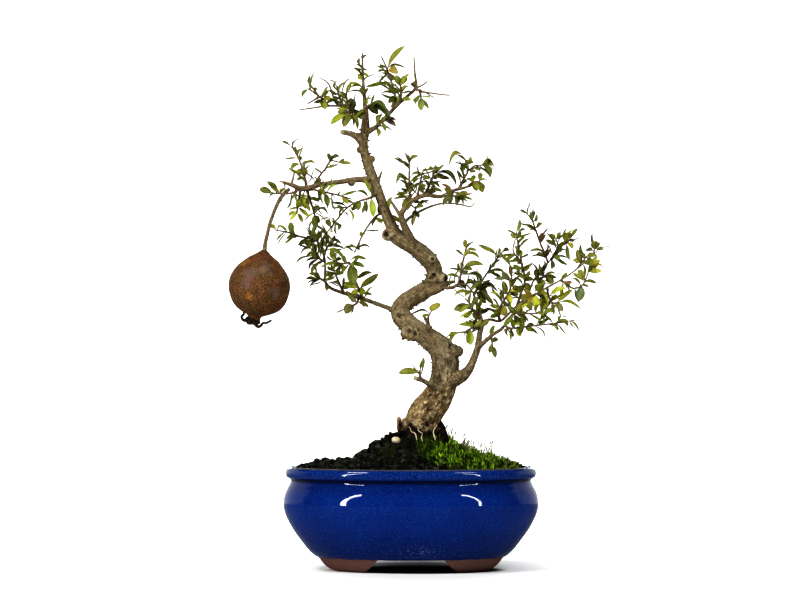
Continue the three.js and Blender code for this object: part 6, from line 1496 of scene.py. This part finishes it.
def leafBlades(twigs, leaves, seed):
    # blades as rings along a line that arches and droops: half width = share of length ^ 0.75 * the rest
    # ^ 0.72, folded up along the midrib, turned so that from the front it is seen as wide as the list says
    pick = seeded(seed)
    leaves = np.array(leaves, float)
    feet = leafFeet(twigs, leaves)
    count = len(leaves)
    seenLong = np.hypot(leaves[:, 2] - feet[:, 0], leaves[:, 3] - feet[:, 2])
    lean = np.sqrt(np.maximum((0.25 * seenLong) ** 2, leaf["shortest"] ** 2 - seenLong ** 2))
    sign = np.where(np.arange(count) % 2 == 1, 1, -1)
    tips = joined(leaves[:, 2], feet[:, 1] + sign * lean, leaves[:, 3])
    along = tips - feet
    long = sizeOf(along)
    upAcross = unit(joined(-along[:, 2], 0, along[:, 0]))
    upAcross = upAcross * np.where(upAcross[:, 2] < 0, -1, 1)[:, None]
    seen = leaves[:, 4] * leaf["wider"]
    wide = np.maximum(seen, leaf["share"] * long)
    roll = np.arccos(np.minimum(1, seen / wide))
    edge = upAcross * np.cos(roll)[:, None] + np.array([0, 1, 0]) * np.sin(roll)[:, None]
    straight = unit(along)
    edge = unit(edge - np.sum(edge * straight, axis=1, keepdims=True) * straight)
    face = unit(np.cross(along, edge))
    face = face * np.where(face[:, 2] < 0, -1, 1)[:, None]
    t = np.linspace(0.0, 0.985, leaf["stations"])
    t[1] = leaf["stem"]
    curl = pick.uniform(-0.10, 0.12, count) * long
    wave = pick.uniform(-0.05, 0.05, count) * long
    arch = leaves[:, 5, None] * 4 * t * (1 - t)
    droop = curl[:, None] * np.sin(np.pi * t) + wave[:, None] * np.sin(2 * np.pi * t)
    middle = (feet[:, None] + t[:, None] * along[:, None] + arch[..., None] * upAcross[:, None]
              + droop[..., None] * face[:, None])
    share = np.clip((t - leaf["stem"] * 0.8) / (1 - leaf["stem"] * 0.8), 0, 1)
    shape = share ** 0.75 * (1 - share) ** 0.72
    half = wide[:, None] / 2 * (shape / shape.max()) + 0.14
    across = np.array([-1, -0.5, 0, 0.5, 1, 0])
    lift = np.array([1, 0.42, 0, 0.42, 1, 0])
    fold = pick.uniform(0.1, 1.0, count)[:, None] * leaf["fold"]
    ripple = 0.015 * np.sin(t * 17 + pick.uniform(0, 6, count)[:, None]) * half * np.sin(np.pi * t)
    thick = leaf["thick"] + 0.12 * (1 - t)
    back = np.array([0, 0, 0, 0, 0, 1])  # the one point of each ring that is under the midrib
    rise = ((half * fold)[..., None] * lift + ripple[..., None] * across * np.abs(across)
            - 2 * thick[:, None] * back)
    rings = (middle[:, :, None] + (half[..., None] * across)[..., None] * edge[:, None, None]
             + rise[..., None] * face[:, None, None])
    flip = (np.sum(np.cross(edge, straight) * face, axis=1) > 0)[:, None, None]
    rings = np.where(flip[..., None], rings[:, :, ::-1], rings)  # faces outwards for either turn
    plan = joined(np.where(flip, across[::-1], across), t[:, None], np.where(flip, back[::-1], back))
    tint = np.array([leafTint((foot + tip) / 2, pick) for foot, tip in zip(feet, tips)])
    return tubes(rings, feet - 0.02 * along, middle[:, -1] + 0.015 * along, plan, tint[:, None, None], 1)


def sideLeaves(twigs, seed):
    # small leaves along each twig, closer together where the crown is dense, at 20 to 70 degrees to it
    pick = seeded(seed)
    for twig in twigs:
        joints = np.array(twig)
        for start, end in zip(joints[:-1], joints[1:]):
            step = end - start
            long = sizeOf(step[:3])
            middle = (start + end) / 2
            gap = next((gap for left, right, low, high, gap in leaf["dense"]
                        if left <= middle[0] <= right and low <= middle[2] <= high), leaf["wideGap"])
            for _ in range(pick.poisson(long / gap)):
                foot = start + step * pick.uniform(0.05, 1)
                turn = pick.choice([-1, 1]) * math.radians(pick.uniform(20, 70))
                turn += math.atan2(step[2], step[0])
                reach = pick.uniform(6.5, 14)
                tip = foot[0] + reach * math.cos(turn), foot[2] + reach * math.sin(turn)
                yield [foot[0], foot[2], *tip, pick.uniform(0.7, 2.4), pick.uniform(-1, 2.4)]


def lengthOf(path):
    return sizeOf(np.diff(np.array(path)[:, :3], axis=0)).sum()


def budsOn(twigs, seed):
    # small buds and leaf scars along a twig
    pick = seeded(seed)
    for twig in twigs:
        joints = np.array(twig)
        for _ in range(max(2, int(lengthOf(twig) / 5))):
            span = pick.integers(0, len(joints) - 1)
            share = pick.uniform(0.1, 0.9)
            place = joints[span] * (1 - share) + joints[span + 1] * share
            aim = unit(pick.normal(0, 1, 3)) * (place[3] + 0.75)
            tip = place[:3] + aim
            yield [[*place[:3], place[3] * 0.8], [*(place[:3] + aim * 0.6), 0.42], [*tip, 0.2]]


def twigRelief(seed):
    return lambda grain, place, direction, radius: radius * 0.16 * layeredNoise(grain * 0.55, 3, seed)


def twigTint(freshness, seed):
    # woody at the foot, fresh towards the tip
    def tint(grain, place, direction, radius):
        marks = blankMarks(place)
        marks[..., 1] = np.clip(freshness + 0.5 * smoothStep(radius, 0.8, 0.45), 0, 1)
        marks[..., 0] = 0.6 * smoothStep(softNoise(grain * 0.9, seed), 0.45, 0.7)
        return marks
    return tint


def growShoot(piece, seed):
    twigs = [[[x, y, z, 1.1 * radius + 0.12] for x, y, z, radius in twig] for twig in piece["twig"]]
    leaves = [*((row + [0])[:6] for row in piece["leaf"]), *sideLeaves(twigs, seed + 4)]
    made = [sweep(twig, 9, 8 * len(twig), twigRelief(seed + 2), twigTint(0.25, seed), flare=0.3)
            for twig in twigs]
    made += [sweep(bud, 6, 5, tint=twigTint(0.1, seed)) for bud in budsOn(twigs, seed + 1)]
    return made + [leafBlades(twigs, leaves, seed + 3)]


for index, (name, piece) in enumerate(readGrowth(branches).items()):
    made, seed = [], 300 + 10 * index
    for number, limb in enumerate(piece["limb"]):
        size = 0.09 * limb[0][3] + 0.07
        made.append(sweep(limb, 26, int(60 + 2.2 * lengthOf(limb)),
                          barkRelief(size, 0.45, seed + number, piece["knob"], thorns=0.35 * size),
                          barkTint(seed + number, 0.45), flare=0.25 if number else 0.55, finish=2))
    makePiece(name, made + growShoot(piece, seed + 5), [twigBark, leafSkin, branchBark])
for index, (name, piece) in enumerate(readGrowth(shoots).items()):
    makePiece(name, growShoot(piece, 500 + 10 * index), [twigBark, leafSkin])


studio = {
    "camera": (-0.01661, -3.6, 0.2158), "lens": 202.5, "sky": 0.06,
    "floor": 5.6, "cove": 1.4, "height": 4, "sides": 64, "wallGlow": 0.5, "wallLight": 0.12,
    "aim": (0, 0, 0.06), "away": 2.1,
    # corners of a bent strip of light: degrees round from the front, degrees up
    "bend": [(46.5, 0), (47, 12), (45, 21), (40.5, 28), (34, 31)],
    # side, width of the strip, its power, width and power of the level strip above it, colour
    "sides of light": [(-1, 0.14, 24, 0.2, 16, (1.0, 0.99, 0.97)), (1, 0.09, 15, 0.12, 8, (0.98, 0.99, 1.0))],
    "fill": ((0, 2.3, 0.66), (1.3, 0.5), 28),
    # ovals of painted shadow under and behind the pot: middle, half width, half depth, start, end, darkness
    "paintedShadows": [(0, 71, 60, 1, 0.82, 0.95), (45, 80, 115, 1, 0.2, 0.82)],
}


def whitePaper():
    # the paper glows, mostly in what the glaze mirrors, as a painted reflection, and there it is also darker;
    # it looks white from every side but for painted shadows under and behind the pot
    place, _, _ = newFinish("white paper", 0.0)
    ray = node("ShaderNodeLightPath", {})
    behind = stretch(xyz(place)[1], 500, 1900)
    far = stretch(vectorCalc("LENGTH", scaled(place, (1, 0.45, 1)))["Value"], 45, 200)
    # light: the painted shadows, multiplied together
    light = 1.0
    for centre, wide, deep, start, end, dark in studio["paintedShadows"]:
        spot = scaled(vectorCalc("SUBTRACT", place, (0, centre, 0))[0], (1 / wide, 1 / deep, 0.001))
        light = times(light, stretch(vectorCalc("LENGTH", spot)["Value"], start, end, 1.0, 1 - dark))
    paper = blend(light, (0, 0, 0), blend(ray["Is Glossy Ray"], (0.8, 0.8, 0.8), (0.3, 0.3, 0.3)))
    mirrored = times(behind, plus(times(ray["Is Glossy Ray"], studio["wallGlow"]), studio["wallLight"]))
    glow = plus(mirrored, times(times(far, light), ray["Is Camera Ray"]))
    for key, value in (("Base Color", paper), ("Roughness", 1.0), ("Emission Color", (1, 1, 1)),
                       ("Emission Strength", glow)):
        plug(value, bench["shader"][key])
    return bench["material"]


def backdrop():
    # a round floor that curves up into a wall on all sides: the cove is a quarter of a circle
    bend = np.linspace(0, math.pi / 2, 12)
    out = studio["floor"] + studio["cove"] * np.sin(bend)
    up = studio["cove"] * (1 - np.cos(bend))
    out, up = np.concatenate([[0.02, 1], out, out[-1:]]), np.concatenate([[0, 0], up, [studio["height"]]])
    points = roundRings(out, up, around(studio["sides"]))
    spot = np.arange(points[..., 0].size).reshape(len(up), -1)
    after = np.roll(spot, -1, axis=1)
    quads = joined(spot[:-1], spot[1:], after[1:], after[:-1]).reshape(-1, 4)
    mesh = bpy.data.meshes.new("backdrop")
    mesh.from_pydata(points.reshape(-1, 3).tolist(), [], [*quads.tolist(), spot[0].tolist()])
    mesh.polygons.foreach_set("use_smooth", np.ones(len(mesh.polygons), bool))
    mesh.materials.append(whitePaper())
    floor = addObject("backdrop", mesh)


def lamp(name, place, size, power, colour=(1, 1, 1), turn=0.0):
    # a soft box that faces the pot, turned about its own axis
    light = bpy.data.lights.new(name, "AREA")
    light.shape, light.size, light.size_y = "RECTANGLE", *size
    light.energy, light.color = power, colour
    made = addObject(name, light)
    made.location = place
    facing = (Vector(studio["aim"]) - Vector(place)).to_track_quat("-Z", "Y")
    made.rotation_euler = (facing @ Quaternion((0, 0, 1), turn)).to_euler()
    return made


def lampSpot(side, around, up):
    # the place at these degrees round and up from the point that the lamps are aimed at
    around, up = math.radians(around), math.radians(up)
    out = Vector((side * math.sin(around) * math.cos(up), -math.cos(around) * math.cos(up), math.sin(up)))
    return Vector(studio["aim"]) + out * studio["away"]


def bentStrip(side, width, power, highWidth, highPower, colour):
    # an upright strip of light that bends over towards the front, and a level one above it
    corners = studio["bend"]
    spots = [lampSpot(side, *corner) for corner in corners]
    lengths = [(end - start).length for start, end in zip(spots, spots[1:])]
    for step, long in enumerate(lengths):
        (around, up), (aroundNext, upNext) = corners[step:step + 2]
        lean = math.atan2(side * (aroundNext - around) * math.cos(math.radians(up)), upNext - up)
        middle = (spots[step] + spots[step + 1]) / 2
        lamp(f"strip {side} {step}", middle, (width, long), power * long / sum(lengths), colour, -lean)
    lamp(f"high strip {side}", lampSpot(side, 45, 48), (0.55, highWidth), highPower, colour)


backdrop()
for values in studio["sides of light"]:
    bentStrip(*values)
lamp("back fill", *studio["fill"]).visible_camera = False
world = bpy.data.worlds.new("soft sky")
world.use_nodes = True
sky = world.node_tree.nodes["Background"].inputs
sky["Color"].default_value, sky["Strength"].default_value = (1, 1, 1, 1), studio["sky"]
scene.world = world
lens = bpy.data.cameras.new("camera")
lens.lens, lens.sensor_width = studio["lens"], 36
lens.clip_start, lens.clip_end = 0.1, 50
viewer = addObject("camera", lens)
viewer.location = studio["camera"]
viewer.rotation_euler = (math.pi / 2, 0, 0)
scene.camera = viewer
scene.view_settings.view_transform = "Standard"
scene.view_settings.look = "High Contrast"
print("studio ready")
